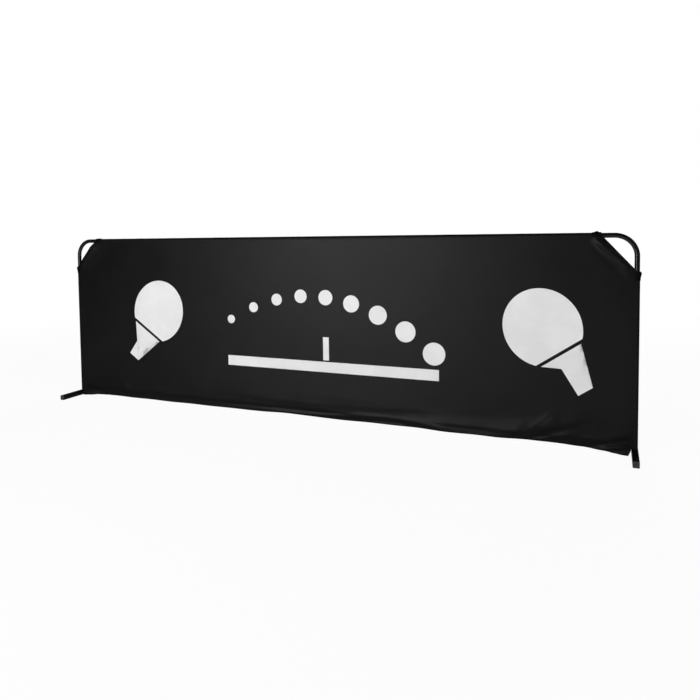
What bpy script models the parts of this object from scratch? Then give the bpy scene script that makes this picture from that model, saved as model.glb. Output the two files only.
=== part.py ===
"""Table tennis court barrier: a bent tube frame, a slip-on cloth cover and two swivelling feet.

Lengths are in metres and +Z is up. The floor is z = 0, the panel stands in the XZ plane
with its middle at x = 0, and its front faces -Y.
"""

import math
from typing import NamedTuple

import bmesh
import bpy
from mathutils import Vector

# Whole barrier
OVERALL_WIDTH = 2.330  # over the cloth on both uprights
OVERALL_HEIGHT = 0.710  # floor to the cloth on the top tube
GAP = 0.0003  # clearance between pieces that touch
OVERRUN = 0.002  # how far a cutter passes the wall that it cuts

# Tube frame
TUBE_DIAMETER = 0.016
TUBE_WALL = 0.0012
BEND_RADIUS = 0.067  # centreline of the two top corners
RAIL_HEIGHT = 0.050  # floor to the axis of the lower rail

# Feet
FOOT_LENGTH = 0.250
BAR_SIDE = 0.020
BAR_WALL = 0.0015
BAR_EDGE_RADIUS = 0.0025
ACCESS_HOLE_DIAMETER = 0.014  # for the socket spanner, in the bar's bottom wall
CAP_FLANGE = 0.003
CAP_CHAMFER = 0.0008
CAP_PLUG_LENGTH = 0.014
CAP_RIB_DEPTH = 0.0008
CAP_RIB_LENGTH = 0.0018
CAP_TAPER = 0.0006  # how much the plug's last part draws in, on each side
CAP_RIBS = 3

# Swivel under each upright
BOLT_DIAMETER = 0.006
BOLT_HEAD_FLATS = 0.010
BOLT_HEAD_HEIGHT = 0.004
BOLT_TIP_CHAMFER = 0.0008
BOLT_ENGAGEMENT = 0.015  # how far the bolt reaches above the tube's end
WASHER_DIAMETER = 0.012
FLAT_WASHER_THICKNESS = 0.0012
SPRING_WASHER_DIAMETER = 0.0104
SPRING_WASHER_THICKNESS = 0.0016
SPRING_WASHER_SLIT = 0.0009
SPRING_WASHER_SLANT = 25.0  # degrees
SWIVEL_WASHER_THICKNESS = 0.0010
INSERT_FLANGE = 0.0016
INSERT_LENGTH = 0.022  # above the tube's end
INSERT_FINS = 5
INSERT_FIN_DEPTH = 0.0008
BUSH_DIAMETER = 0.009
BUSH_LENGTH = 0.016

# Cloth cover
CLOTH = 0.0010
COVER_FOOT_CLEARANCE = 0.0025  # the cover's sides end this far above the foot
CORNER_CUT_WIDTH = 0.105  # the cut corner, from the axis of the upright
CORNER_CUT_HEIGHT = 0.115  # and from the axis of the top tube
CUFF_LENGTH = 0.028
CUFF_THICKNESS = 0.0012
TAPE_WIDTH = 0.009
TAPE_THICKNESS = 0.0007
HEM_TOP = 0.0453  # where the panel ends and the hem that turns under the rail starts
HEM_CLOSED = 0.028  # below this height front and back hem lie together
HEM_HEIGHT_LEFT = 0.009
HEM_HEIGHT_RIGHT = 0.014
HEM_CORNER_HEIGHT = 0.0015  # the loose corner beside each foot, just off the floor
HEM_WAVE = 0.0009
HEM_WAVES = 7
LOOSE_HEM_WIDTH = 0.140  # the stretch of hem that a turning foot brushes aside
FOOT_NOTCH = 0.0187  # from the upright's axis to the edge of the loose hem
PATCH_WIDTH = 0.060
PATCH_HEIGHT = 0.0115
PATCH_THICKNESS = 0.0014
PATCH_EDGE_RADIUS = 0.002
PATCH_MARGIN = 0.080  # from the loose hem to the outer patch
PATCH_PAIRS = 5
FOLD_HEIGHT = 0.0030  # the tallest fold
FOLD_FADE = 0.016  # folds flatten out this near the seams

# Worked out from the sizes above
TUBE_RADIUS = TUBE_DIAMETER / 2
WRAP_RADIUS = TUBE_RADIUS + GAP + CLOTH / 2  # middle of the cloth round a tube
AXIS_X = OVERALL_WIDTH / 2 - WRAP_RADIUS - CLOTH / 2
AXIS_Z = OVERALL_HEIGHT - WRAP_RADIUS - CLOTH / 2
BOLT_RADIUS = BOLT_DIAMETER / 2
BORE_RADIUS = BOLT_RADIUS + GAP
SWIVEL_WASHER_BOTTOM = BAR_SIDE + GAP
FLANGE_BOTTOM = SWIVEL_WASHER_BOTTOM + SWIVEL_WASHER_THICKNESS + GAP
FLANGE_TOP = FLANGE_BOTTOM + INSERT_FLANGE
TUBE_END = FLANGE_TOP + GAP
COVER_BOTTOM = BAR_SIDE + COVER_FOOT_CLEARANCE
HEM_LAYER = GAP / 2 + PATCH_THICKNESS + GAP + CLOTH / 2
NOTCH_X = AXIS_X - FOOT_NOTCH
LOOSE_X = NOTCH_X - LOOSE_HEM_WIDTH

# Facets
TUBE_RING = 6  # bevel resolution, for 16 sides
BEND_STEPS = 9
TURNED_STEPS = 24
WRAP_STEPS = 10
CORNER_STEPS = 3
PANEL_COLUMNS = 48
PANEL_ROWS = 11
BACK_COLUMNS = 34
BACK_ROWS = 7
HEM_COLUMNS = 34
HEM_ROWS = 5
LOOSE_COLUMNS = 8
COLUMN_CROWDING = 0.45  # 0 is even, towards 1 the columns crowd to both ends
ROW_CROWDING = 1.6  # 1 is even, more crowds the rows to the bottom

LEFT, RIGHT = -1, 1
FRONT, BACK = -1, 1
SIDE_NAMES = {LEFT: "left", RIGHT: "right"}
LAYER_NAMES = {FRONT: "front", BACK: "back"}


class Fold(NamedTuple):
    """A ridge in the cloth: its ends as shares of AXIS_X and AXIS_Z, its half width as a
    share of AXIS_Z and its height as a share of FOLD_HEIGHT."""

    start: tuple
    end: tuple
    width: float
    height: float


FRONT_FOLD_SHARES = (
    Fold((-0.36, 0.098), (-0.08, 0.062), 0.016, 0.55),
    Fold((-0.10, 0.058), (0.27, 0.073), 0.015, 0.90),
    Fold((0.27, 0.073), (0.60, 0.091), 0.015, 1.00),
    Fold((0.60, 0.091), (0.74, 0.110), 0.017, 0.60),
    Fold((0.745, 0.085), (0.805, 0.178), 0.024, 0.85),
    Fold((0.760, 0.045), (0.875, 0.098), 0.016, 0.90),
    Fold((0.875, 0.098), (0.945, 0.170), 0.020, 0.55),
    Fold((0.870, 0.052), (0.985, 0.080), 0.013, 0.95),
    Fold((-0.805, 0.112), (-0.720, 0.052), 0.017, 0.60),
    Fold((-0.920, 0.078), (-0.875, 0.052), 0.013, 0.50),
    Fold((0.880, 0.925), (0.950, 0.820), 0.024, 0.80),
)
BACK_FOLD_SHARES = (
    Fold((-0.55, 0.085), (0.05, 0.066), 0.017, 0.70),
    Fold((0.30, 0.070), (0.70, 0.098), 0.018, 0.60),
    Fold((-0.875, 0.130), (-0.780, 0.062), 0.022, 0.60),
    Fold((0.800, 0.060), (0.905, 0.140), 0.022, 0.60),
)
FOLD_SHARES = {FRONT: FRONT_FOLD_SHARES, BACK: BACK_FOLD_SHARES}


class Finish(NamedTuple):
    """Colour, roughness and metallic value of a surface."""

    colour: tuple
    roughness: float
    metallic: float


PAINTED_STEEL = Finish((0.010, 0.010, 0.011), 0.32, 0.0)
ZINC_STEEL = Finish((0.55, 0.55, 0.53), 0.35, 1.0)
BLACK_NYLON = Finish((0.030, 0.030, 0.031), 0.55, 0.0)
WHITE_NYLON = Finish((0.62, 0.61, 0.58), 0.50, 0.0)
BLACK_CLOTH = Finish((0.016, 0.016, 0.017), 0.80, 0.0)
BLACK_TAPE = Finish((0.009, 0.009, 0.010), 0.70, 0.0)
BLACK_HOOK = Finish((0.020, 0.020, 0.021), 0.90, 0.0)


# Scene


def clear_scene():
    """Removes whatever the new scene came with."""
    for obj in list(bpy.data.objects):
        bpy.data.objects.remove(obj)


def new_collection(name):
    """Adds a collection to the scene."""
    made = bpy.data.collections.new(name)
    bpy.context.scene.collection.children.link(made)
    return made


clear_scene()
PARTS = new_collection("table_tennis_barrier")
CUTTERS = new_collection("cutters")


def add_mesh(name, bm, collection=PARTS):
    """Turns a bmesh into an object, shaded smooth across its rounded edges."""
    mesh = bpy.data.meshes.new(name)
    bm.to_mesh(mesh)
    bm.free()
    obj = bpy.data.objects.new(name, mesh)
    collection.objects.link(obj)
    smooth(obj)
    return obj


def smooth(obj):
    """Shades the rounded faces smooth and keeps the real edges sharp."""
    obj.data.shade_smooth()
    obj.data.set_sharp_from_angle(angle=math.radians(35))


def paint(obj, finish):
    """Gives an object its own material."""
    material = bpy.data.materials.new(f"{obj.name}_finish")
    material.use_nodes = True
    shader = material.node_tree.nodes["Principled BSDF"]
    shader.inputs["Base Color"].default_value = (*finish.colour, 1.0)
    shader.inputs["Roughness"].default_value = finish.roughness
    shader.inputs["Metallic"].default_value = finish.metallic
    obj.data.materials.clear()
    obj.data.materials.append(material)
    return obj


def as_cutter(obj):
    """Hides a shape that only cuts or joins another."""
    obj.hide_render = True
    obj.display_type = "WIRE"
    return obj


def boolean(obj, other, operation="DIFFERENCE"):
    """Cuts or joins an object with a helper shape."""
    modifier = obj.modifiers.new(operation.lower(), "BOOLEAN")
    modifier.operation = operation
    modifier.object = as_cutter(other)
    return obj


def thicken(obj, thickness, offset):
    """Gives an open surface its wall. Offset -1 grows it inwards, 0 to both sides."""
    wall = obj.modifiers.new("wall", "SOLIDIFY")
    wall.thickness = thickness
    wall.offset = offset
    wall.use_even_offset = True
    return obj


# Shapes


def polyline_curve(name, points, dimensions="3D", closed=False):
    """A curve of straight runs through the points."""
    curve = bpy.data.curves.new(name, "CURVE")
    curve.dimensions = dimensions
    add_spline(curve, points, closed)
    return curve


def add_spline(curve, points, closed):
    """Adds one run of points to a curve."""
    spline = curve.splines.new("POLY")
    spline.points.add(len(points) - 1)
    for point, place in zip(spline.points, points):
        point.co = (*place, *(0.0,) * (3 - len(place)), 1.0)
    spline.use_cyclic_u = closed


def mesh_from_curve(name, curve):
    """Makes a mesh object of a curve, with its caps welded on."""
    guide = bpy.data.objects.new(name, curve)
    PARTS.objects.link(guide)
    graph = bpy.context.evaluated_depsgraph_get()
    mesh = bpy.data.meshes.new_from_object(guide.evaluated_get(graph))
    mesh.name = name
    bpy.data.objects.remove(guide)
    bpy.data.curves.remove(curve)
    bm = bmesh.new()
    bm.from_mesh(mesh)
    bmesh.ops.remove_doubles(bm, verts=bm.verts, dist=GAP / 100)
    bm.to_mesh(mesh)
    bm.free()
    obj = bpy.data.objects.new(name, mesh)
    PARTS.objects.link(obj)
    smooth(obj)
    return obj


def turned(name, profile, angle=360.0, closed=True, steps=TURNED_STEPS, collection=PARTS):
    """Turns a profile of (radius, height) points about Z. It runs down its outer side."""
    bm = bmesh.new()
    verts = [bm.verts.new((radius, 0.0, height)) for radius, height in profile]
    for start, end in zip(verts, verts[1:]):
        bm.edges.new((start, end))
    if closed:
        bm.edges.new((verts[-1], verts[0]))
    obj = add_mesh(name, bm, collection)
    screw = obj.modifiers.new("turn", "SCREW")
    screw.angle = math.radians(angle)
    screw.steps = steps
    screw.render_steps = steps
    screw.use_merge_vertices = angle == 360.0
    screw.merge_threshold = 0.00001
    screw.use_smooth_shade = True
    return obj


def ring_profile(outer, inner, bottom, top):
    """The section of a plain ring."""
    return [(outer, top), (outer, bottom), (inner, bottom), (inner, top)]


def rounded_rectangle(width, height, radius, steps=CORNER_STEPS):
    """The corners of a flat outline, anticlockwise, with round corners."""
    points = []
    for turn, (sx, sy) in enumerate(((1, 1), (-1, 1), (-1, -1), (1, -1))):
        centre = Vector((sx * (width / 2 - radius), sy * (height / 2 - radius)))
        for step in range(steps + 1):
            angle = math.radians(90 * (turn + step / steps))
            points.append(tuple(centre + radius * Vector((math.cos(angle), math.sin(angle)))))
    return points


def extruded(name, outlines, thickness):
    """A flat outline, with its holes, given a thickness about z = 0."""
    curve = polyline_curve(name, outlines[0], "2D", closed=True)
    for hole in outlines[1:]:
        add_spline(curve, hole, closed=True)
    curve.fill_mode = "BOTH"
    curve.extrude = thickness / 2
    return mesh_from_curve(name, curve)


def drum(name, diameter, length, axis, place, segments=TURNED_STEPS):
    """A round helper along one axis, for cutting."""
    bm = bmesh.new()
    bmesh.ops.create_cone(
        bm,
        cap_ends=True,
        segments=segments,
        radius1=diameter / 2,
        radius2=diameter / 2,
        depth=length,
    )
    obj = add_mesh(name, bm, CUTTERS)
    obj.rotation_euler = Vector((0, 0, 1)).rotation_difference(axis).to_euler()
    obj.location = place
    return obj


def block(name, low, high, collection=CUTTERS):
    """A box between two corners."""
    low, high = Vector(low), Vector(high)
    bm = bmesh.new()
    bmesh.ops.create_cube(bm, size=1.0)
    bmesh.ops.scale(bm, vec=high - low, verts=bm.verts)
    bmesh.ops.translate(bm, vec=(low + high) / 2, verts=bm.verts)
    return add_mesh(name, bm, collection)


# Tube frame


def frame_route():
    """The centreline of the bent tube: up one side, across the top and down the other."""
    route = [(-AXIS_X, 0.0, TUBE_END)]
    for side, first in ((LEFT, 180.0), (RIGHT, 90.0)):
        centre = Vector((side * (AXIS_X - BEND_RADIUS), 0.0, AXIS_Z - BEND_RADIUS))
        for step in range(BEND_STEPS + 1):
            angle = math.radians(first - 90.0 * step / BEND_STEPS)
            arm = Vector((math.cos(angle), 0.0, math.sin(angle)))
            route.append(tuple(centre + BEND_RADIUS * arm))
    route.append((AXIS_X, 0.0, TUBE_END))
    return route


def build_tube_frame():
    """The one tube that makes both uprights and the top, open at its lower ends."""
    curve = polyline_curve("tube_frame", frame_route())
    curve.bevel_depth = TUBE_RADIUS
    curve.bevel_resolution = TUBE_RING
    curve.use_fill_caps = False
    obj = mesh_from_curve("tube_frame", curve)
    paint(thicken(obj, TUBE_WALL, -1), PAINTED_STEEL)


def build_lower_rail():
    """The tie tube between the uprights, its ends saddled to the round of each."""
    bm = bmesh.new()
    ends = [bm.verts.new((TUBE_RADIUS, 0.0, side * AXIS_X)) for side in (RIGHT, LEFT)]
    bm.edges.new(ends)
    rail = add_mesh("lower_rail", bm)
    screw = rail.modifiers.new("turn", "SCREW")
    screw.steps = screw.render_steps = 2 * (TUBE_RING + 2)
    screw.use_merge_vertices = True
    screw.merge_threshold = 0.00001
    thicken(rail, TUBE_WALL, -1)
    rail.rotation_euler = (0.0, math.radians(90), 0.0)
    rail.location = (0.0, 0.0, RAIL_HEIGHT)
    for side in (LEFT, RIGHT):
        place = (side * AXIS_X, 0.0, RAIL_HEIGHT)
        saddle = drum(
            f"{SIDE_NAMES[side]}_saddle_cutter",
            TUBE_DIAMETER + 2 * GAP,
            TUBE_DIAMETER + 2 * OVERRUN,
            Vector((0, 0, 1)),
            place,
        )
        boolean(rail, saddle)
    paint(rail, PAINTED_STEEL)


# Swivel


def place_on_axis(obj, side):
    """Moves a turned piece to the upright's axis."""
    obj.location = (side * AXIS_X, 0.0, 0.0)
    return obj


def insert_profile():
    """Section of the nylon plug: finned shank in the tube, flange under its end."""
    fin_radius = TUBE_RADIUS - TUBE_WALL - GAP
    core_radius = fin_radius - INSERT_FIN_DEPTH
    top = TUBE_END + INSERT_LENGTH
    pitch = INSERT_LENGTH / INSERT_FINS
    points = [(core_radius, top)]
    for fin in range(INSERT_FINS):
        upper = top - (fin + 0.25) * pitch
        points += [
            (core_radius, upper),
            (fin_radius, upper - pitch / 4),
            (fin_radius, upper - pitch / 2),
            (core_radius, upper - pitch / 2),
        ]
    points += [
        (core_radius, FLANGE_TOP),
        (TUBE_RADIUS, FLANGE_TOP),
        (TUBE_RADIUS, FLANGE_BOTTOM),
        (BORE_RADIUS, FLANGE_BOTTOM),
        (BORE_RADIUS, FLANGE_TOP),
        (BUSH_DIAMETER / 2 + GAP, FLANGE_TOP),
        (BUSH_DIAMETER / 2 + GAP, top),
    ]
    return points


def build_swivel(side):
    """The plug in the tube's end and the bolt that the foot turns on."""
    name = SIDE_NAMES[side]
    place_on_axis(paint(turned(f"{name}_tube_insert", insert_profile()), BLACK_NYLON), side)

    bush_bottom = FLANGE_TOP + GAP
    bush = ring_profile(BUSH_DIAMETER / 2, BORE_RADIUS, bush_bottom, bush_bottom + BUSH_LENGTH)
    place_on_axis(paint(turned(f"{name}_threaded_bush", bush), ZINC_STEEL), side)

    washer = ring_profile(
        TUBE_RADIUS,
        BORE_RADIUS,
        SWIVEL_WASHER_BOTTOM,
        SWIVEL_WASHER_BOTTOM + SWIVEL_WASHER_THICKNESS,
    )
    place_on_axis(paint(turned(f"{name}_swivel_washer", washer), WHITE_NYLON), side)

    flat_top = BAR_SIDE - BAR_WALL - GAP
    flat_bottom = flat_top - FLAT_WASHER_THICKNESS
    flat = ring_profile(WASHER_DIAMETER / 2, BORE_RADIUS, flat_bottom, flat_top)
    place_on_axis(paint(turned(f"{name}_flat_washer", flat), ZINC_STEEL), side)

    spring_top = flat_bottom - GAP
    spring_bottom = spring_top - SPRING_WASHER_THICKNESS
    build_spring_washer(side, spring_bottom, spring_top)
    build_bolt(side, spring_bottom - GAP)


def build_spring_washer(side, bottom, top):
    """The split ring that keeps the bolt tight."""
    name = f"{SIDE_NAMES[side]}_spring_washer"
    ring = turned(name, ring_profile(SPRING_WASHER_DIAMETER / 2, BORE_RADIUS, bottom, top))
    reach = SPRING_WASHER_DIAMETER / 2 + OVERRUN
    tall = top - bottom + 2 * OVERRUN
    slit = block(
        f"{name}_slit_cutter",
        (0.0, -SPRING_WASHER_SLIT / 2, -tall / 2),
        (reach, SPRING_WASHER_SLIT / 2, tall / 2),
    )
    slit.rotation_euler = (math.radians(SPRING_WASHER_SLANT), 0.0, 0.0)
    slit.location = (side * AXIS_X, 0.0, (bottom + top) / 2)
    paint(boolean(place_on_axis(ring, side), slit), ZINC_STEEL)


def build_bolt(side, head_top):
    """The hexagon bolt, its head inside the foot bar."""
    name = f"{SIDE_NAMES[side]}_pivot_bolt"
    bm = bmesh.new()
    bmesh.ops.create_cone(
        bm,
        cap_ends=True,
        segments=6,
        radius1=BOLT_HEAD_FLATS / 2 / math.cos(math.radians(30)),
        radius2=BOLT_HEAD_FLATS / 2 / math.cos(math.radians(30)),
        depth=BOLT_HEAD_HEIGHT,
    )
    bmesh.ops.translate(bm, vec=(0.0, 0.0, head_top - BOLT_HEAD_HEIGHT / 2), verts=bm.verts)
    head = place_on_axis(add_mesh(name, bm), side)
    tip = TUBE_END + BOLT_ENGAGEMENT
    shank = turned(
        f"{name}_shank_shape",
        [
            (0.0, tip),
            (BOLT_RADIUS - BOLT_TIP_CHAMFER, tip),
            (BOLT_RADIUS, tip - BOLT_TIP_CHAMFER),
            (BOLT_RADIUS, head_top - BOLT_HEAD_HEIGHT / 2),
            (0.0, head_top - BOLT_HEAD_HEIGHT / 2),
        ],
        closed=False,
        collection=CUTTERS,
    )
    place_on_axis(shank, side)
    paint(boolean(head, shank, "UNION"), ZINC_STEEL)


# Feet


def foot_pivot(side):
    """An empty on the swivel's axis that carries one foot."""
    pivot = bpy.data.objects.new(f"{SIDE_NAMES[side]}_foot_pivot", None)
    PARTS.objects.link(pivot)
    pivot.location = (side * AXIS_X, 0.0, 0.0)
    return pivot


def build_foot(side):
    """A square tube bar across the panel, with an end cap in each end."""
    name = SIDE_NAMES[side]
    pivot = foot_pivot(side)
    inner_side = BAR_SIDE - 2 * BAR_WALL
    outlines = [
        rounded_rectangle(BAR_SIDE, BAR_SIDE, BAR_EDGE_RADIUS),
        rounded_rectangle(inner_side, inner_side, BAR_EDGE_RADIUS - BAR_WALL),
    ]
    bar_length = FOOT_LENGTH - 2 * (CAP_FLANGE + GAP)
    bar = extruded(f"{name}_foot_bar", outlines, bar_length)
    bar.rotation_euler = (math.radians(90), 0.0, 0.0)
    bar.location = (0.0, 0.0, BAR_SIDE / 2)
    bar.parent = pivot
    for label, diameter, height in (
        ("bolt_hole", 2 * BORE_RADIUS, BAR_SIDE),
        ("access_hole", ACCESS_HOLE_DIAMETER, 0.0),
    ):
        place = (side * AXIS_X, 0.0, height)
        long = 2 * (BAR_WALL + OVERRUN)
        boolean(bar, drum(f"{name}_{label}_cutter", diameter, long, Vector((0, 0, 1)), place))
    paint(bar, PAINTED_STEEL)
    for end, word in ((FRONT, "front"), (BACK, "rear")):
        cap = build_cap(f"{name}_foot_{word}_cap", inner_side)
        cap.rotation_euler = (math.radians(-90), 0.0, math.radians(90 * (end + 1)))
        cap.location = (0.0, end * FOOT_LENGTH / 2, BAR_SIDE / 2)
        cap.parent = pivot
        paint(cap, BLACK_NYLON)


def cap_stations(inner_side):
    """The cap's sections from its outer face inwards: (depth, side, corner radius)."""
    plug_side = inner_side - 2 * GAP
    groove_side = plug_side - 2 * CAP_RIB_DEPTH
    plug_radius = BAR_EDGE_RADIUS - BAR_WALL
    stations = [
        (0.0, BAR_SIDE - 2 * CAP_CHAMFER, BAR_EDGE_RADIUS),
        (CAP_CHAMFER, BAR_SIDE, BAR_EDGE_RADIUS),
        (CAP_FLANGE, BAR_SIDE, BAR_EDGE_RADIUS),
        (CAP_FLANGE, groove_side, plug_radius),
    ]
    pitch = CAP_PLUG_LENGTH / (CAP_RIBS + 1)
    for rib in range(CAP_RIBS):
        start = CAP_FLANGE + (rib + 0.5) * pitch
        stations += [
            (start, groove_side, plug_radius),
            (start, plug_side, plug_radius),
            (start + CAP_RIB_LENGTH, groove_side, plug_radius),
        ]
    end = CAP_FLANGE + CAP_PLUG_LENGTH
    stations.append((end, groove_side - 2 * CAP_TAPER, plug_radius))
    return stations


def build_cap(name, inner_side):
    """A push-in cap along +Z: a flange as wide as the bar, then a ribbed plug."""
    bm = bmesh.new()
    rings = []
    for depth, width, radius in cap_stations(inner_side):
        outline = rounded_rectangle(width, width, radius)
        rings.append([bm.verts.new((x, y, depth)) for x, y in outline])
    for low, high in zip(rings, rings[1:]):
        for (a, b), (c, d) in zip(ring_pairs(low), ring_pairs(high)):
            bm.faces.new((a, b, d, c))
    bm.faces.new(rings[0][::-1])
    bm.faces.new(rings[-1])
    return add_mesh(name, bm)


def ring_pairs(ring):
    """Neighbours round a ring of points."""
    return zip(ring, ring[1:] + ring[:1])


# Cloth cover


def ease(value):
    """Runs smoothly from 0 at 0 to 1 at 1."""
    value = min(max(value, 0.0), 1.0)
    return value * value * (3 - 2 * value)


def fold_height(layer, x, z):
    """How far the folds lift the cloth off its flat at a place."""
    lift = 0.0
    for fold in FOLD_SHARES[layer]:
        start = Vector((fold.start[0] * AXIS_X, fold.start[1] * AXIS_Z))
        run = Vector((fold.end[0] * AXIS_X, fold.end[1] * AXIS_Z)) - start
        along = (Vector((x, z)) - start).dot(run) / run.length_squared
        near = start + run * min(max(along, 0.0), 1.0)
        away = (Vector((x, z)) - near).length / (fold.width * AXIS_Z)
        lift = max(lift, fold.height * FOLD_HEIGHT * math.exp(-away * away))
    side_room = AXIS_X - abs(x)
    top_room = AXIS_Z - z
    cut = CORNER_CUT_WIDTH * CORNER_CUT_HEIGHT
    from_cut = side_room * CORNER_CUT_HEIGHT + top_room * CORNER_CUT_WIDTH - cut
    tape_room = from_cut / math.hypot(CORNER_CUT_WIDTH, CORNER_CUT_HEIGHT) - TAPE_WIDTH
    return lift * ease(min(side_room, top_room, tape_room) / FOLD_FADE)


def cloth_point(layer, x, z):
    """A point in the middle of the cloth, in front of or behind the frame."""
    turned_in = ease((HEM_TOP - z) / (HEM_TOP - HEM_CLOSED))
    turned_in *= ease((NOTCH_X - abs(x)) / LOOSE_HEM_WIDTH)
    flat = WRAP_RADIUS + (HEM_LAYER - WRAP_RADIUS) * turned_in
    return Vector((x, layer * (flat + fold_height(layer, x, z)), z))


def hem_edge(layer, x):
    """Height of the cover's lower edge above the floor."""
    share = (x / AXIS_X + 1) / 2
    level = HEM_HEIGHT_LEFT + (HEM_HEIGHT_RIGHT - HEM_HEIGHT_LEFT) * ease(share)
    level += HEM_WAVE * math.sin(HEM_WAVES * math.pi * share) * -layer
    droop = ease((abs(x) - LOOSE_X) / LOOSE_HEM_WIDTH)
    return level + (HEM_CORNER_HEIGHT - level) * droop


def cloth_sheet(columns, rows, x_at, z_at):
    """A grid of cloth whose place in the panel comes from two functions of 0 to 1."""
    bm = bmesh.new()
    bmesh.ops.create_grid(bm, x_segments=columns, y_segments=rows, size=0.5)
    for vert in bm.verts:
        across, up = vert.co.x + 0.5, vert.co.y + 0.5
        x = x_at(across)
        vert.co = (x, 0.0, z_at(x, up))
    return bm


def finish_sheet(name, bm, layer):
    """Lays a flat sheet over the frame with its folds and gives it its thickness."""
    for vert in bm.verts:
        vert.co = cloth_point(layer, vert.co.x, vert.co.z)
    bmesh.ops.recalc_face_normals(bm, faces=bm.faces)
    return paint(thicken(add_mesh(name, bm), CLOTH, 0), BLACK_CLOTH)


def crowd_columns(share):
    """Moves evenly spaced columns towards both ends."""
    return share - COLUMN_CROWDING * math.sin(2 * math.pi * share) / (2 * math.pi)


def bisect(bm, place, outwards, clear=False):
    """Splits the sheet along a plane, and drops what lies beyond it if asked."""
    bmesh.ops.bisect_plane(
        bm,
        geom=bm.verts[:] + bm.edges[:] + bm.faces[:],
        plane_co=place,
        plane_no=outwards,
        clear_outer=clear,
    )


def cut_corner(bm, side):
    """Cuts the sheet along the diagonal at one upper corner, and lines it for the fold there."""
    start = Vector((side * (AXIS_X - CORNER_CUT_WIDTH), 0.0, AXIS_Z))
    outwards = Vector((side * CORNER_CUT_HEIGHT, 0.0, CORNER_CUT_WIDTH)).normalized()
    bisect(bm, start, outwards, clear=True)
    for inset in (TAPE_WIDTH + GAP, TAPE_WIDTH + FOLD_FADE, TAPE_WIDTH + 2 * FOLD_FADE):
        bisect(bm, start - outwards * inset, outwards)


def cut_hem_notch(bm):
    """Takes out the lower edge between the two tabs beside the uprights."""
    bisect(bm, (0.0, 0.0, HEM_TOP), (0.0, 0.0, 1.0))
    for side in (LEFT, RIGHT):
        bisect(bm, (side * NOTCH_X, 0.0, 0.0), (1.0, 0.0, 0.0))
    middles = [(face, face.calc_center_median()) for face in bm.faces]
    below = [face for face, at in middles if at.z < HEM_TOP and abs(at.x) < NOTCH_X]
    bmesh.ops.delete(bm, geom=below, context="FACES")


def build_panel(layer, columns, rows):
    """One face of the cover, from the middle of one upright to the middle of the other."""
    width = 2 * (AXIS_X - GAP)
    height = AXIS_Z - GAP - COVER_BOTTOM
    bm = cloth_sheet(
        columns,
        rows,
        lambda across: (crowd_columns(across) - 0.5) * width,
        lambda x, up: COVER_BOTTOM + height * up**ROW_CROWDING,
    )
    for side in (LEFT, RIGHT):
        cut_corner(bm, side)
    cut_hem_notch(bm)
    finish_sheet(f"{LAYER_NAMES[layer]}_panel", bm, layer)


def build_hem(layer):
    """The cover's lower edge: a middle stretch, and a loose end beside each foot."""
    word = LAYER_NAMES[layer]
    top = HEM_TOP - GAP
    stretches = (
        (f"{word}_hem_left_end", -NOTCH_X + GAP, -LOOSE_X - GAP / 2, LOOSE_COLUMNS),
        (f"{word}_hem_middle", -LOOSE_X + GAP / 2, LOOSE_X - GAP / 2, HEM_COLUMNS),
        (f"{word}_hem_right_end", LOOSE_X + GAP / 2, NOTCH_X - GAP, LOOSE_COLUMNS),
    )
    for name, low, high, columns in stretches:
        bm = cloth_sheet(
            columns,
            HEM_ROWS,
            lambda across, low=low, high=high: low + (high - low) * across,
            lambda x, up: hem_edge(layer, x) + (top - hem_edge(layer, x)) * up,
        )
        finish_sheet(name, bm, layer)


def half_wrap(name, low, high, thickness, inner_radius, finish):
    """A strip bent over the +X half of a tube along Z, from low to high."""
    middle = inner_radius + thickness / 2
    bm = bmesh.new()
    rows = []
    for step in range(WRAP_STEPS + 1):
        angle = math.radians(180.0 * step / WRAP_STEPS - 90.0)
        x, y = middle * math.cos(angle), middle * math.sin(angle)
        rows.append([bm.verts.new((x, y, height)) for height in (low, high)])
    for row, after in zip(rows, rows[1:]):
        bm.faces.new((row[0], after[0], after[1], row[1]))
    return paint(thicken(add_mesh(name, bm), thickness, 0), finish)


def wrap_top(obj):
    """Lays a half wrap over the top tube. The strip's +Z then points to -X."""
    obj.location = (0.0, 0.0, AXIS_Z)
    obj.rotation_euler = (0.0, math.radians(-90), 0.0)
    return obj


def wrap_side(obj, side):
    """Places a half wrap on the outer side of an upright."""
    obj.location = (side * AXIS_X, 0.0, 0.0)
    if side == LEFT:
        obj.rotation_euler.z = math.pi
    return obj


def build_gussets():
    """The strips sewn between front and back, over the top tube and down each upright."""
    inner = TUBE_RADIUS + GAP
    end = AXIS_X - CORNER_CUT_WIDTH
    wrap_top(half_wrap("top_gusset", -end, end, CLOTH, inner, BLACK_CLOTH))
    upper = AXIS_Z - CORNER_CUT_HEIGHT
    for side in (LEFT, RIGHT):
        name = f"{SIDE_NAMES[side]}_gusset"
        wrap_side(half_wrap(name, COVER_BOTTOM, upper, CLOTH, inner, BLACK_CLOTH), side)


def build_cuffs():
    """The turned and stitched ends of the gussets, at each cut corner."""
    inner = TUBE_RADIUS + GAP + CLOTH + GAP
    end = AXIS_X - CORNER_CUT_WIDTH
    upper = AXIS_Z - CORNER_CUT_HEIGHT
    for side in (LEFT, RIGHT):
        name = SIDE_NAMES[side]
        low, high = sorted((-side * (end - CUFF_LENGTH), -side * end))
        wrap_top(half_wrap(f"{name}_top_cuff", low, high, CUFF_THICKNESS, inner, BLACK_TAPE))
        low = upper - CUFF_LENGTH
        cuff = half_wrap(f"{name}_side_cuff", low, upper, CUFF_THICKNESS, inner, BLACK_TAPE)
        wrap_side(cuff, side)


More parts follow.
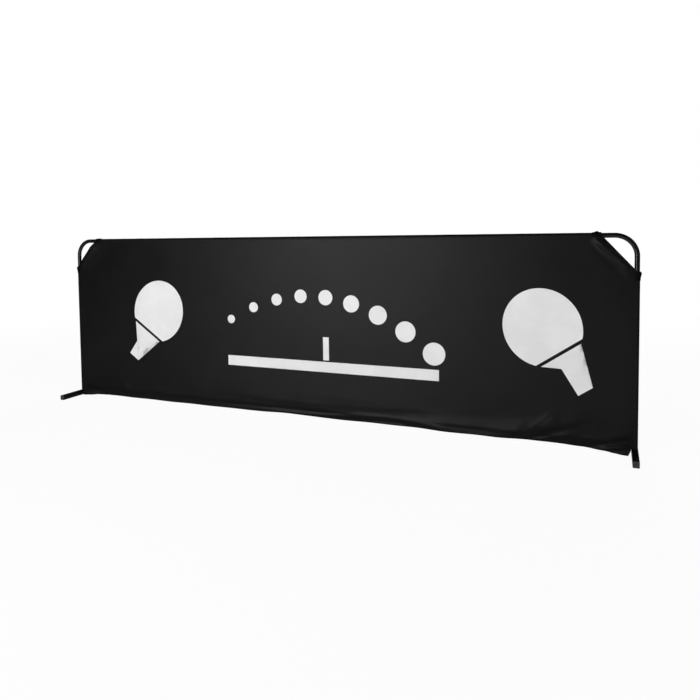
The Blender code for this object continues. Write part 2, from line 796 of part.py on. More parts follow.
def build_corner_tapes():
    """The tape sewn along the diagonal edge of each cut corner."""
    long = math.hypot(CORNER_CUT_WIDTH, CORNER_CUT_HEIGHT)
    inset_x = TAPE_WIDTH * long / CORNER_CUT_HEIGHT
    inset_z = TAPE_WIDTH * long / CORNER_CUT_WIDTH
    top = AXIS_Z - GAP
    edge = AXIS_X - GAP
    start_x = AXIS_X - CORNER_CUT_WIDTH * (1 - GAP / CORNER_CUT_HEIGHT)
    end_z = AXIS_Z - CORNER_CUT_HEIGHT * (1 - GAP / CORNER_CUT_WIDTH)
    away = WRAP_RADIUS + CLOTH / 2 + GAP + TAPE_THICKNESS / 2
    for layer in (FRONT, BACK):
        for side in (LEFT, RIGHT):
            name = f"{LAYER_NAMES[layer]}_{SIDE_NAMES[side]}_corner_tape"
            outline = [
                (side * start_x, top),
                (side * (start_x - inset_x), top),
                (side * edge, end_z - inset_z),
                (side * edge, end_z),
            ]
            tape = extruded(name, [outline], TAPE_THICKNESS)
            tape.rotation_euler = (math.radians(90), 0.0, 0.0)
            tape.location = (0.0, layer * away, 0.0)
            paint(tape, BLACK_TAPE)


def build_patches():
    """Pairs of hook and loop patches that close the hem under the rail."""
    span = 2 * (LOOSE_X - PATCH_MARGIN - PATCH_WIDTH / 2)
    outline = rounded_rectangle(PATCH_WIDTH, PATCH_HEIGHT, PATCH_EDGE_RADIUS)
    height = HEM_CLOSED - PATCH_HEIGHT / 2
    for number in range(PATCH_PAIRS):
        x = span * (number / (PATCH_PAIRS - 1) - 0.5)
        for layer, word, finish in ((FRONT, "hook", BLACK_HOOK), (BACK, "loop", BLACK_TAPE)):
            patch = extruded(f"{word}_patch_{number + 1}", [outline], PATCH_THICKNESS)
            patch.rotation_euler = (math.radians(90), 0.0, 0.0)
            patch.location = (x, layer * (GAP + PATCH_THICKNESS) / 2, height)
            paint(patch, finish)


# Whole barrier


def build_barrier():
    """Builds every piece in its place."""
    build_tube_frame()
    build_lower_rail()
    for side in (LEFT, RIGHT):
        build_swivel(side)
        build_foot(side)
    build_panel(FRONT, PANEL_COLUMNS, PANEL_ROWS)
    build_panel(BACK, BACK_COLUMNS, BACK_ROWS)
    for layer in (FRONT, BACK):
        build_hem(layer)
    build_gussets()
    build_cuffs()
    build_corner_tapes()
    build_patches()


build_barrier()
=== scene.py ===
"""Looks of a table tennis court barrier: a bent tube frame in a slip-on cloth cover, on two feet.

Lengths are in metres in the frame of the CAD. The panel stands in the XZ plane with its middle
at x = 0, its front faces -Y and the floor is z = 0.
"""

import logging
import math
from collections.abc import Callable, Iterator, Sequence
from contextlib import contextmanager
from dataclasses import dataclass
from enum import Enum
from functools import cached_property

import bmesh
import bpy
from mathutils import Matrix, Vector, noise


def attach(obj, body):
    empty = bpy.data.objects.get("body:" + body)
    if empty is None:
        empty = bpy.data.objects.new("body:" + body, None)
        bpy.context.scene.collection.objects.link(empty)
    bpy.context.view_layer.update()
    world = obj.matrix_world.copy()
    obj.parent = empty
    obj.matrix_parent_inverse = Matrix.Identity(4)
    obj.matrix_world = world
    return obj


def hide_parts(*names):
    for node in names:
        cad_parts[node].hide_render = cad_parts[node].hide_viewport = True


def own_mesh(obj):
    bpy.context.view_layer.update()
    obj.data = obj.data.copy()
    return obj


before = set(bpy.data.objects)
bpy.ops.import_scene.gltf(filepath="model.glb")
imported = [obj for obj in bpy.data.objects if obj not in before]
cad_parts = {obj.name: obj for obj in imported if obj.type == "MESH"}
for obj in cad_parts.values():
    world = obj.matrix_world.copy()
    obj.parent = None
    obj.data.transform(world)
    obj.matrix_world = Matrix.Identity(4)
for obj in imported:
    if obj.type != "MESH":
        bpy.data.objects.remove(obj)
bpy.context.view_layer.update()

log = logging.getLogger("barrier")

Place = tuple[float, float]
Colour = tuple[float, float, float]
Point = tuple[float, float, float]

WHITE = (1.0, 1.0, 1.0)
FLAT_MAP = "cloth"  # the UV map with a piece's place on its flat cloth, in metres
SEAM_MARKS = "seams"  # the attribute that says how near the seams are
YARN = 0.0009  # from one yarn of the cloth to the next


class Named(Enum):
    """Options whose names are also words in the names of pieces."""

    @property
    def word(self) -> str:
        """The option's name, as piece names have it."""
        return self.name.lower()


class Layer(Named):
    """The two faces of the cover, by the direction along Y that each one faces."""

    FRONT = -1
    BACK = 1


class Side(Named):
    """The two ends of the barrier, by their direction along X."""

    LEFT = -1
    RIGHT = 1


def ease(value: float) -> float:
    """Runs smoothly from 0 at 0 to 1 at 1."""
    value = min(max(value, 0.0), 1.0)
    return value * value * (3 - 2 * value)


def bell(value: float) -> float:
    """Falls from 1 at 0 to nothing on both sides."""
    return math.exp(-(value**2))


def spread(low: float, high: float, pitch: float) -> list[float]:
    """Places from low to high, evenly, no further apart than the pitch."""
    count = max(1, math.ceil((high - low) / pitch - 1e-9))
    return [low + (high - low) * step / count for step in range(count + 1)]


def height_along(path: Sequence[Place], x: float, eased: bool = False) -> float:
    """The height of a path across the panel.

    Args:
        path: Its points, from left to right.
        x: Place across the panel.
        eased: Whether the path levels out at each of its points.

    Returns:
        The height.
    """
    if x <= path[0][0]:
        return path[0][1]
    for (ax, az), (bx, bz) in zip(path, path[1:]):
        if x <= bx:
            share = (x - ax) / (bx - ax)
            return az + (bz - az) * (ease(share) if eased else share)
    return path[-1][1]


# Sizes that the sub-assemblies share


@dataclass(frozen=True)
class BarrierSizes:
    """The lengths that fix where the pieces meet, as in the CAD."""

    axis_x: float = 1.1557  # the uprights' axes
    axis_z: float = 0.7007  # the top tube's axis
    tube_radius: float = 0.008
    tube_end: float = 0.0235
    bend_radius: float = 0.067
    rail_z: float = 0.050
    bar_side: float = 0.020
    foot_length: float = 0.250
    cloth: float = 0.0006  # the cloth's thickness
    wrap_radius: float = 0.0088  # middle of the cloth over a tube
    cover_bottom: float = 0.0225
    hem_top: float = 0.0453
    hem_turn: float = 0.018  # from the lower edge up to its stitches
    hem_closed: float = 0.028
    hem_layer: float = 0.00235
    notch_x: float = 1.1370
    loose_x: float = 0.9970
    cut_width: float = 0.105
    cut_height: float = 0.115
    tape_width: float = 0.009
    cuff_length: float = 0.028

    @property
    def cut_x(self) -> float:
        """Where the cut corner leaves the top edge."""
        return self.axis_x - self.cut_width

    @property
    def cut_z(self) -> float:
        """Where the cut corner meets the upright."""
        return self.axis_z - self.cut_height

    @property
    def cut_length(self) -> float:
        """The length of the slanted edge."""
        return math.hypot(self.cut_width, self.cut_height)

    def towards_foot(self, x: float) -> float:
        """Runs from 0 where a loose end of the lower edge starts to 1 at the notch by the foot."""
        return ease((abs(x) - self.loose_x) / (self.notch_x - self.loose_x))


SIZES = BarrierSizes()


# Shader graphs


class Wire:
    """An output inside a node tree. Python arithmetic on it adds the Math nodes that it needs."""

    def __init__(self, graph: "Graph", socket: bpy.types.NodeSocket) -> None:
        """Wraps one output socket.

        Args:
            graph: The graph that holds the socket.
            socket: The output to read.
        """
        self.graph = graph
        self.socket = socket

    def maths(self, operation: str, *values: "Wire | float") -> "Wire":
        """Adds a Math node.

        Args:
            operation: The node's operation.
            values: Its inputs, in order.

        Returns:
            The node's result.
        """
        inputs = dict(enumerate(values))
        return self.graph.value("ShaderNodeMath", {"operation": operation}, inputs)

    def __add__(self, other: "Wire | float") -> "Wire":
        """self + other."""
        return self.maths("ADD", self, other)

    def __sub__(self, other: "Wire | float") -> "Wire":
        """self - other."""
        return self.maths("SUBTRACT", self, other)

    def __rsub__(self, other: float) -> "Wire":
        """other - self."""
        return self.maths("SUBTRACT", other, self)

    def __mul__(self, other: "Wire | float") -> "Wire":
        """self * other."""
        return self.maths("MULTIPLY", self, other)

    def __pow__(self, other: "Wire | float") -> "Wire":
        """self ** other."""
        return self.maths("POWER", self, other)

    __radd__ = __add__
    __rmul__ = __mul__

    def sine(self) -> "Wire":
        """The sine of the value, in radians."""
        return self.maths("SINE", self)

    def size(self) -> "Wire":
        """The value without its sign."""
        return self.maths("ABSOLUTE", self)

    def lower(self, other: "Wire | float") -> "Wire":
        """The smaller of two values."""
        return self.maths("MINIMUM", self, other)

    def higher(self, other: "Wire | float") -> "Wire":
        """The larger of two values."""
        return self.maths("MAXIMUM", self, other)

    def rise(self, low: float, high: float) -> "Wire":
        """Runs smoothly from 0 at low to 1 at high.

        Args:
            low: Where the rise starts.
            high: Where it is complete.

        Returns:
            The smooth step.
        """
        return self.graph.value(
            "ShaderNodeMapRange",
            {"interpolation_type": "SMOOTHSTEP"},
            {"Value": self, "From Min": low, "From Max": high},
        )


class Graph:
    """A node tree, with short ways to add to it."""

    def __init__(self, tree: bpy.types.NodeTree) -> None:
        """Wraps a tree."""
        self.tree = tree

    def node(
        self, kind: str, settings: dict | None = None, inputs: dict | None = None
    ) -> bpy.types.Node:
        """Adds any node.

        Args:
            kind: The node's type.
            settings: Its properties, such as an operation.
            inputs: Values or links for its sockets, by name or number.

        Returns:
            The new node.
        """
        made = self.tree.nodes.new(kind)
        for key, value in (settings or {}).items():
            setattr(made, key, value)
        for key, value in (inputs or {}).items():
            self.feed(made.inputs[key], value)
        return made

    def value(
        self,
        kind: str,
        settings: dict | None = None,
        inputs: dict | None = None,
        output: str | int = 0,
    ) -> Wire:
        """Adds any node and reads one of its outputs.

        Args:
            kind: The node's type.
            settings: Its properties.
            inputs: Values or links for its sockets.
            output: The output's name or number.

        Returns:
            The output as a wire.
        """
        return Wire(self, self.node(kind, settings, inputs).outputs[output])

    def feed(self, socket: bpy.types.NodeSocket, value: "Wire | float | Colour") -> None:
        """Links a wire to a socket, or sets the socket to a number, a vector or a colour.

        Args:
            socket: The input to feed.
            value: A wire, or a constant.
        """
        if isinstance(value, Wire):
            self.tree.links.new(value.socket, socket)
        else:
            socket.default_value = (*value, 1.0) if socket.type == "RGBA" else value

    def blend(self, low: Wire, high: Wire, share: Wire) -> Wire:
        """A shader between two, by a share from 0 to 1."""
        return self.value("ShaderNodeMixShader", None, {0: share, 1: low, 2: high})

    def seen(self) -> Wire:
        """1 for rays from the camera, from a reflection or through glass.

        Returns:
            The wire that says so, 0 for all other rays.
        """
        rays = self.node("ShaderNodeLightPath").outputs
        camera, mirrored, through = (
            Wire(self, rays[f"Is {kind} Ray"]) for kind in ("Camera", "Glossy", "Transmission")
        )
        return camera.higher(mirrored).higher(through)

    def axes(self, vector: Wire) -> tuple[Wire, Wire, Wire]:
        """The three parts of a vector."""
        split = self.node("ShaderNodeSeparateXYZ", None, {0: vector})
        return tuple(Wire(self, output) for output in split.outputs)

    def vector(self, x: Wire | float, y: Wire | float, z: Wire | float) -> Wire:
        """A vector of three values."""
        return self.value("ShaderNodeCombineXYZ", None, {0: x, 1: y, 2: z})

    def place(self) -> Wire:
        """The place in the object, in metres."""
        return self.value("ShaderNodeTexCoord", output="Object")

    @cached_property
    def flat(self) -> tuple[Wire, Wire]:
        """The place along and across the flat cloth, in metres."""
        along, across, _ = self.axes(self.value("ShaderNodeUVMap", {"uv_map": FLAT_MAP}))
        return along, across

    def grain(self, at: Wire, scale: float, detail: float = 2.0, rough: float = 0.5) -> Wire:
        """A noise from 0 to 1.

        Args:
            at: Where to read it.
            scale: Its features per unit of that place.
            detail: How many finer octaves it has.
            rough: How strong those are.

        Returns:
            The noise.
        """
        inputs = {"Vector": at, "Scale": scale, "Detail": detail, "Roughness": rough}
        return self.value("ShaderNodeTexNoise", None, inputs)

    def drawn_grain(
        self, scales: Place, seed: float, detail: float = 1.0, rough: float = 0.5
    ) -> Wire:
        """A noise that is drawn out over the flat cloth.

        Args:
            scales: Its features per metre along and across.
            seed: Sets it apart from others.
            detail: How many finer octaves it has.
            rough: How strong those are.

        Returns:
            The noise.
        """
        u, v = self.flat
        return self.grain(self.vector(u * scales[0], v * scales[1], seed), 1.0, detail, rough)

    def weave(self) -> Wire:
        """The crossing yarns of the cloth, from -1 to 1."""
        u, v = self.flat
        turn = math.pi / YARN
        return (u * turn).sine() * (v * turn).sine()

    def cells(self, at: Wire, scale: float) -> Wire:
        """The distance to the nearest of scattered points."""
        return self.value("ShaderNodeTexVoronoi", None, {"Vector": at, "Scale": scale})

    def mixed(self, low: Wire | Colour, high: Wire | Colour, share: Wire) -> Wire:
        """A colour between two, by a share from 0 to 1."""
        inputs = {"Factor": share, 6: low, 7: high}
        return self.value("ShaderNodeMix", {"data_type": "RGBA"}, inputs, 2)


class Surface(Graph):
    """The node tree of one material, around its Principled shader."""

    def __init__(self, name: str) -> None:
        """Makes a plain material of this name.

        Args:
            name: The material's name.
        """
        self.material = bpy.data.materials.new(name)
        self.material.use_nodes = True
        super().__init__(self.material.node_tree)
        self.shader = self.tree.nodes["Principled BSDF"]

    def relief(self, height: Wire) -> None:
        """Bumps the surface by a height in millimetres."""
        bump = self.value("ShaderNodeBump", None, {"Height": height, "Distance": 0.001})
        self.feed(self.shader.inputs["Normal"], bump)

    def set(self, **sockets: "Wire | float | Colour") -> None:
        """Sets or feeds the Principled shader's sockets, named with _ for a space."""
        for key, value in sockets.items():
            name = "Specular IOR Level" if key == "Specular" else key.replace("_", " ")
            self.feed(self.shader.inputs[name], value)

    def glow(self, share: Wire) -> None:
        """Puts plain white light in the surface's place, by a share from 0 to 1."""
        white = self.value("ShaderNodeEmission", None, {"Strength": 1.0})
        both = self.blend(Wire(self, self.shader.outputs[0]), white, share)
        self.feed(self.tree.nodes["Material Output"].inputs[0], both)


# Finishes

MADE_MATERIALS: dict[str, bpy.types.Material] = {}


@dataclass(frozen=True)
class Finish:
    """A surface finish. Each kind dresses a Principled shader in its own way."""

    name: str

    def material(self) -> bpy.types.Material:
        """The finish as a material, made once and then shared.

        Returns:
            The material.
        """
        if self.name not in MADE_MATERIALS:
            graph = Surface(self.name)
            self.dress(graph)
            MADE_MATERIALS[self.name] = graph.material
        return MADE_MATERIALS[self.name]

    def dress(self, graph: Surface) -> None:
        """Builds the nodes of the finish."""
        raise NotImplementedError

    def put_on(self, obj: bpy.types.Object) -> bpy.types.Object:
        """Gives a piece this finish in all its slots.

        Args:
            obj: The piece.

        Returns:
            The same piece.
        """
        if not obj.data.materials:
            obj.data.materials.append(None)
        for index in range(len(obj.data.materials)):
            obj.data.materials[index] = self.material()
        return obj


@dataclass(frozen=True)
class WovenCloth(Finish):
    """Tightly woven polyester with a dull sheen, its puckers along the seams and soft creases."""

    colour: Colour = (0.0030, 0.0030, 0.0032)
    faded: Colour = (0.0042, 0.0042, 0.0045)
    roughness: float = 0.40
    specular: float = 0.165
    slubs: Place = (900.0, 40.0)  # thick places in the yarns, per metre across and along them
    puckers: Place = (150.0, 26.0)  # per metre along a seam and away from it
    creases: float = 1.0

    def dress(self, graph: Surface) -> None:
        """Builds the weave on the cloth's own UV map, which is in metres.

        Args:
            graph: The material's node tree.
        """
        warp = graph.drawn_grain(self.slubs, 0.0)
        weft = graph.drawn_grain(self.slubs[::-1], 3.0)
        streaks = graph.drawn_grain((7.0, 38.0), 9.0, 3.0, 0.55)
        u, v = graph.flat
        blotches = graph.grain(graph.vector(u, v, 5.0), 6.0, 3.0, 0.6)
        marks = graph.value("ShaderNodeAttribute", {"attribute_name": SEAM_MARKS}, output="Color")
        level, upright, _ = graph.axes(marks)
        puckers = (graph.drawn_grain(self.puckers, 1.0) - 0.5) * level
        puckers = puckers + (graph.drawn_grain(self.puckers[::-1], 2.0) - 0.5) * upright
        height = graph.weave() * 0.045 + (warp + weft) * 0.05
        graph.relief(height + streaks * (0.32 * self.creases) + puckers * 0.9)
        graph.set(
            Base_Color=graph.mixed(self.colour, self.faded, blotches.rise(0.3, 0.75)),
            Roughness=self.roughness + (blotches - 0.5) * 0.10 + (warp - 0.5) * 0.05,
            Specular=self.specular,
        )


@dataclass(frozen=True)
class RibbedTape(Finish):
    """Grosgrain binding with fine ribs across its length."""

    colour: Colour = (0.0015, 0.0015, 0.0016)
    worn: Colour = (0.004, 0.004, 0.0042)
    roughness: float = 0.62
    rib: float = 0.0011
    thread: float = 0.0004  # from one lengthwise thread to the next

    def dress(self, graph: Surface) -> None:
        """Builds ribs on the tape's UV map, whose U runs along it.

        Args:
            graph: The material's node tree.
        """
        u, v = graph.flat
        ribs = (u * (2 * math.pi / self.rib)).sine()
        threads = (v * (2 * math.pi / self.thread)).sine()
        wear = graph.drawn_grain((60.0, 200.0), 0.0, 2.0)
        graph.relief(ribs * 0.09 + threads * 0.02 + wear * 0.15)
        graph.set(
            Base_Color=graph.mixed(self.colour, self.worn, wear.rise(0.45, 0.8)),
            Roughness=self.roughness + (wear - 0.5) * 0.15,
            Specular=0.1,
        )


@dataclass(frozen=True)
class ScreenInk(Finish):
    """White print on the cloth. The weave shows through it."""

    colour: Colour = (0.78, 0.78, 0.78)
    thick: Colour = (0.83, 0.83, 0.825)
    bare: Colour = (0.45, 0.45, 0.45)  # in the pinholes

    def dress(self, graph: Surface) -> None:
        """Builds the ink with the cloth's weave under it.

        Args:
            graph: The material's node tree.
        """
        u, v = graph.flat
        coat = graph.grain(graph.vector(u, v, 0.0), 9.0, 3.0, 0.6)
        pinholes = graph.drawn_grain((700.0, 700.0), 4.0, 0.0)
        graph.relief(graph.weave() * 0.03 + coat * 0.12)
        colour = graph.mixed(self.colour, self.thick, coat.rise(0.35, 0.7))
        graph.set(
            Base_Color=graph.mixed(colour, self.bare, pinholes.rise(0.74, 0.8) * 0.35),
            Roughness=0.42 + (coat - 0.5) * 0.12,
            Specular=0.35,
        )


@dataclass(frozen=True)
class SewingThread(Finish):
    """Twisted black polyester thread."""

    def dress(self, graph: Surface) -> None:
        """Builds a slanted twist on object coordinates.

        Args:
            graph: The material's node tree.
        """
        x, y, z = graph.axes(graph.place())
        twist = ((x + y + z) * 9000).sine()
        lint = graph.grain(graph.place(), 1400.0, 1.0)
        graph.relief(twist * 0.05 + lint * 0.05)
        graph.set(
            Base_Color=graph.mixed((0.006, 0.006, 0.0065), (0.014, 0.014, 0.015), lint),
            Roughness=0.42 + (lint - 0.5) * 0.1,
            Specular=0.3,
        )


@dataclass(frozen=True)
class BlackPaint(Finish):
    """Glossy black powder coat with a faint orange peel and rubbed spots."""

    colour: Colour = (0.0020, 0.0020, 0.0022)
    rubbed: Colour = (0.022, 0.022, 0.023)
    roughness: float = 0.26
    specular: float = 0.42
    rub: float = 0.5  # how much of it is rubbed near the floor

    def dress(self, graph: Surface) -> None:
        """Builds the peel, the fine scratches and the scuffs low on the piece.

        Args:
            graph: The material's node tree.
        """
        at = graph.place()
        _, _, z = graph.axes(at)
        peel = graph.grain(at, 520.0, 1.0)
        drawn = graph.value(
            "ShaderNodeMapping", None, {"Vector": at, "Scale": (900.0, 60.0, 900.0)}
        )
        scratches = graph.grain(drawn, 1.0, 1.0).rise(0.68, 0.74)
        patches = graph.grain(at, 38.0, 3.0, 0.6)
        low = 1.0 - z.rise(0.004, 0.03)
        scuffed = (patches.rise(0.55, 0.72) * low * self.rub + scratches * 0.25).lower(1.0)
        graph.relief(peel * 0.035 - scratches * 0.02)
        graph.set(
            Base_Color=graph.mixed(self.colour, self.rubbed, scuffed),
            Roughness=self.roughness + (patches - 0.5) * 0.08 + scuffed * 0.25,
            Specular=self.specular,
        )


@dataclass(frozen=True)
class MouldedNylon(Finish):
    """Injection-moulded nylon with a fine spark-eroded grain."""

    colour: Colour
    pale: Colour = (0.055, 0.055, 0.058)
    roughness: float = 0.5

    def dress(self, graph: Surface) -> None:
        """Builds the grain and slight flow marks.

        Args:
            graph: The material's node tree.
        """
        at = graph.place()
        grit = graph.grain(at, 2600.0, 1.0)
        flow = graph.grain(at, 160.0, 3.0, 0.6)
        graph.relief(grit * 0.03 + flow * 0.04)
        graph.set(
            Base_Color=graph.mixed(self.colour, self.pale, flow.rise(0.35, 0.7)),
            Roughness=self.roughness + (flow - 0.5) * 0.2 + (grit - 0.5) * 0.08,
            Specular=0.4,
        )


@dataclass(frozen=True)
class ZincPlate(Finish):
    """Bright zinc plating with a slight spangle."""

    def dress(self, graph: Surface) -> None:
        """Builds the spangle and the turned marks.

        Args:
            graph: The material's node tree.
        """
        at = graph.place()
        spangle = graph.cells(at, 700.0)
        haze = graph.grain(at, 240.0, 2.0)
        graph.relief(haze * 0.02 + spangle * 0.01)
        graph.set(
            Base_Color=graph.mixed((0.52, 0.52, 0.50), (0.66, 0.66, 0.64), spangle.rise(0.1, 0.6)),
            Metallic=1.0,
            Roughness=0.3 + (haze - 0.5) * 0.2,
        )


class Pile(Enum):
    """The two halves of a hook-and-loop closure, with their bristles per metre."""

    HOOK = 900.0
    LOOP = 420.0


@dataclass(frozen=True)
class FasteningPile(Finish):
    """The bristles or the fuzz of a hook-and-loop patch."""

    pile: Pile

    def dress(self, graph: Surface) -> None:
        """Builds the bristles from scattered points.

        Args:
            graph: The material's node tree.
        """
        at = graph.place()
        tufts = graph.cells(at, self.pile.value)
        fuzz = graph.grain(at, 1500.0, 2.0, 0.7)
        rows = 1.0 - tufts.rise(0.1, 0.5)
        graph.relief(rows * 0.4 + fuzz * 0.2)
        # painted highlight and shade: the colour follows the bump's height, lighter on the tufts
        # and darker in the gaps between them
        graph.set(
            Base_Color=graph.mixed((0.006, 0.006, 0.006), (0.026, 0.026, 0.027), rows),
            Roughness=0.85 - rows * 0.2,
            Specular=0.25,
        )


@dataclass(frozen=True)
class Finishes:
    """Every finish of the barrier."""

    cloth: Finish = WovenCloth("cover_cloth")
    strip: Finish = WovenCloth("cover_strip_cloth", roughness=0.5, creases=0.5)
    cuff: Finish = WovenCloth(
        "cuff_cloth", colour=(0.0012,) * 3, faded=(0.002,) * 3, roughness=0.62, specular=0.07
    )
    tape: Finish = RibbedTape("binding_tape")
    ink: Finish = ScreenInk("white_print")
    thread: Finish = SewingThread("black_thread")
    tube: Finish = BlackPaint("black_tube_paint", rub=0.0)
    foot: Finish = BlackPaint("black_foot_paint", roughness=0.34, rub=1.0)
    grey_nylon: Finish = MouldedNylon("grey_nylon", (0.019, 0.019, 0.020))
    black_nylon: Finish = MouldedNylon("black_nylon", (0.02, 0.02, 0.021))
    zinc: Finish = ZincPlate("zinc_plate")
    hook: Finish = FasteningPile("hook_pile", Pile.HOOK)
    loop: Finish = FasteningPile("loop_pile", Pile.LOOP)


FINISHES = Finishes()


# Bench: Blender's edit tools on one piece


def deselect() -> None:
    """Leaves nothing selected, so that an operator acts on the new piece alone."""
    bpy.ops.object.select_all(action="DESELECT")


def take(obj: bpy.types.Object) -> None:
    """Selects one piece and makes it the active one."""
    deselect()
    obj.select_set(True)
    bpy.context.view_layer.objects.active = obj


@contextmanager
def editing(obj: bpy.types.Object) -> Iterator[None]:
    """Holds a piece in edit mode.

    Args:
        obj: The piece.

    Returns:
        The time in edit mode, for a with statement.
    """
    take(obj)
    bpy.ops.object.mode_set(mode="EDIT")
    try:
        yield
    finally:
        bpy.ops.object.mode_set(mode="OBJECT")


class Part(Enum):
    """What is selected in edit mode."""

    FACE = "faces"
    EDGE = "edges"

    def select(
        self,
        obj: bpy.types.Object,
        wanted: Callable[[bmesh.types.BMFace | bmesh.types.BMEdge], bool],
    ) -> None:
        """Selects some parts of a mesh and no others.

        Args:
            obj: The piece being edited.
            wanted: Says of each part whether to take it.
        """
        bpy.ops.mesh.select_mode(type=self.name)
        bm = bmesh.from_edit_mesh(obj.data)
        for part in getattr(bm, self.value):
            part.select_set(wanted(part))
        bm.select_flush_mode()
        bmesh.update_edit_mesh(obj.data)


def placed(data: bpy.types.ID) -> bpy.types.Object:
    """Puts a mesh, a light or a camera into the scene as an object of the same name."""
    obj = bpy.data.objects.new(data.name, data)
    bpy.context.scene.collection.objects.link(obj)
    return obj


def settle(obj: bpy.types.Object) -> None:
    """Moves a piece's place into its mesh, so that its object sits at the origin."""
    obj.data.transform(obj.matrix_world)
    obj.matrix_world = Matrix.Identity(4)


def smooth(obj: bpy.types.Object, degrees: float) -> None:
    """Shades a piece smooth and keeps edges above an angle sharp."""
    take(obj)
    bpy.ops.object.shade_smooth_by_angle(angle=math.radians(degrees))


def thicken(obj: bpy.types.Object, thickness: float, offset: float) -> None:
    """Gives an open surface its wall.

    Args:
        obj: The surface.
        thickness: The wall's thickness.
        offset: -1 grows it inwards, 0 to both sides.
    """
    wall = obj.modifiers.new("wall", "SOLIDIFY")
    wall.thickness = thickness
    wall.offset = offset
    wall.use_even_offset = True
    take(obj)
    bpy.ops.object.modifier_apply(modifier=wall.name)


def copy_of(obj: bpy.types.Object, name: str, move: Matrix) -> bpy.types.Object:
    """A copy with its own mesh.

    Args:
        obj: The piece to copy.
        name: The copy's name.
        move: Where the copy's mesh goes, from the piece's own place.

    Returns:
        The copy.
    """
    mesh = obj.data.copy()
    mesh.name = name
    mesh.transform(move)
    return placed(mesh)


def stands_for(piece: bpy.types.Object, body: str, slot: str, *nodes: str) -> None:
    """Puts a piece on the body that it rides on and hides the CAD nodes that it replaces."""
    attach(piece, body)
    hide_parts(*nodes)


# The cloth's shape


@dataclass(frozen=True)
class Crease:
    """A ridge in the cloth, or a valley where its height is negative."""

    path: tuple[Place, ...]
    width: float
    height: float
    above: float = 1.0  # how many times wider it is above its path
    reach: float = 2.6  # where it has died away, in widths
    taper: float = 0.3  # the share of its length over which each end sinks
    sunk: float = 0.25  # the share of its height that an end keeps
    step: float = 0.01  # between the heights that round off a level crest

    def lift(self, x: float, z: float) -> float:
        """How far the crease lifts the cloth at a place.

        Args:
            x: Place across the panel.
            z: Height above the floor.

        Returns:
            The lift in metres.
        """
        reach = self.reach * self.width
        xs, zs = zip(*self.path)
        high = max(zs) + reach * self.above
        if not (min(xs) - reach < x < max(xs) + reach and min(zs) - reach < z < high):
            return 0.0
        best, share = self._level(x, z) if self.above > 1.0 else self._nearest(x, z)
        ends = ease(share / self.taper) * ease((1 - share) / self.taper)
        strength = self.sunk + (1 - self.sunk) * ends
        return self.height * math.exp(-best / self.width**2) * strength

    def _nearest(self, x: float, z: float) -> Place:
        """The square of the distance to the path, and how far along it the nearest point is.

        Args:
            x: Place across the panel.
            z: Height above the floor.

        Returns:
            The squared distance, and a share of the path's length.
        """
        best, share = math.inf, 0.0
        count = len(self.path) - 1
        for index, ((ax, az), (bx, bz)) in enumerate(zip(self.path, self.path[1:])):
            dx, dz = bx - ax, bz - az
            along = ((x - ax) * dx + (z - az) * dz) / (dx * dx + dz * dz)
            along = min(max(along, 0.0), 1.0)
            gap = (ax + dx * along - x) ** 2 + (az + dz * along - z) ** 2
            if gap < best:
                best, share = gap, (index + along) / count
        return best, share

    def _level(self, x: float, z: float) -> Place:
        """The same for a crease that runs across, measured straight up and down from its path.

        Args:
            x: Place across the panel.
            z: Height above the floor.

        Returns:
            The squared distance, less above the path, and a share of the path's length.
        """
        start, end = self.path[0][0], self.path[-1][0]
        inside = min(max(x, start), end)
        crest = sum(height_along(self.path, inside + n * self.step) for n in range(-2, 3)) / 5
        over = (z - crest) / (self.above if z > crest else 1.0)
        return (x - inside) ** 2 + over**2, (inside - start) / (end - start)


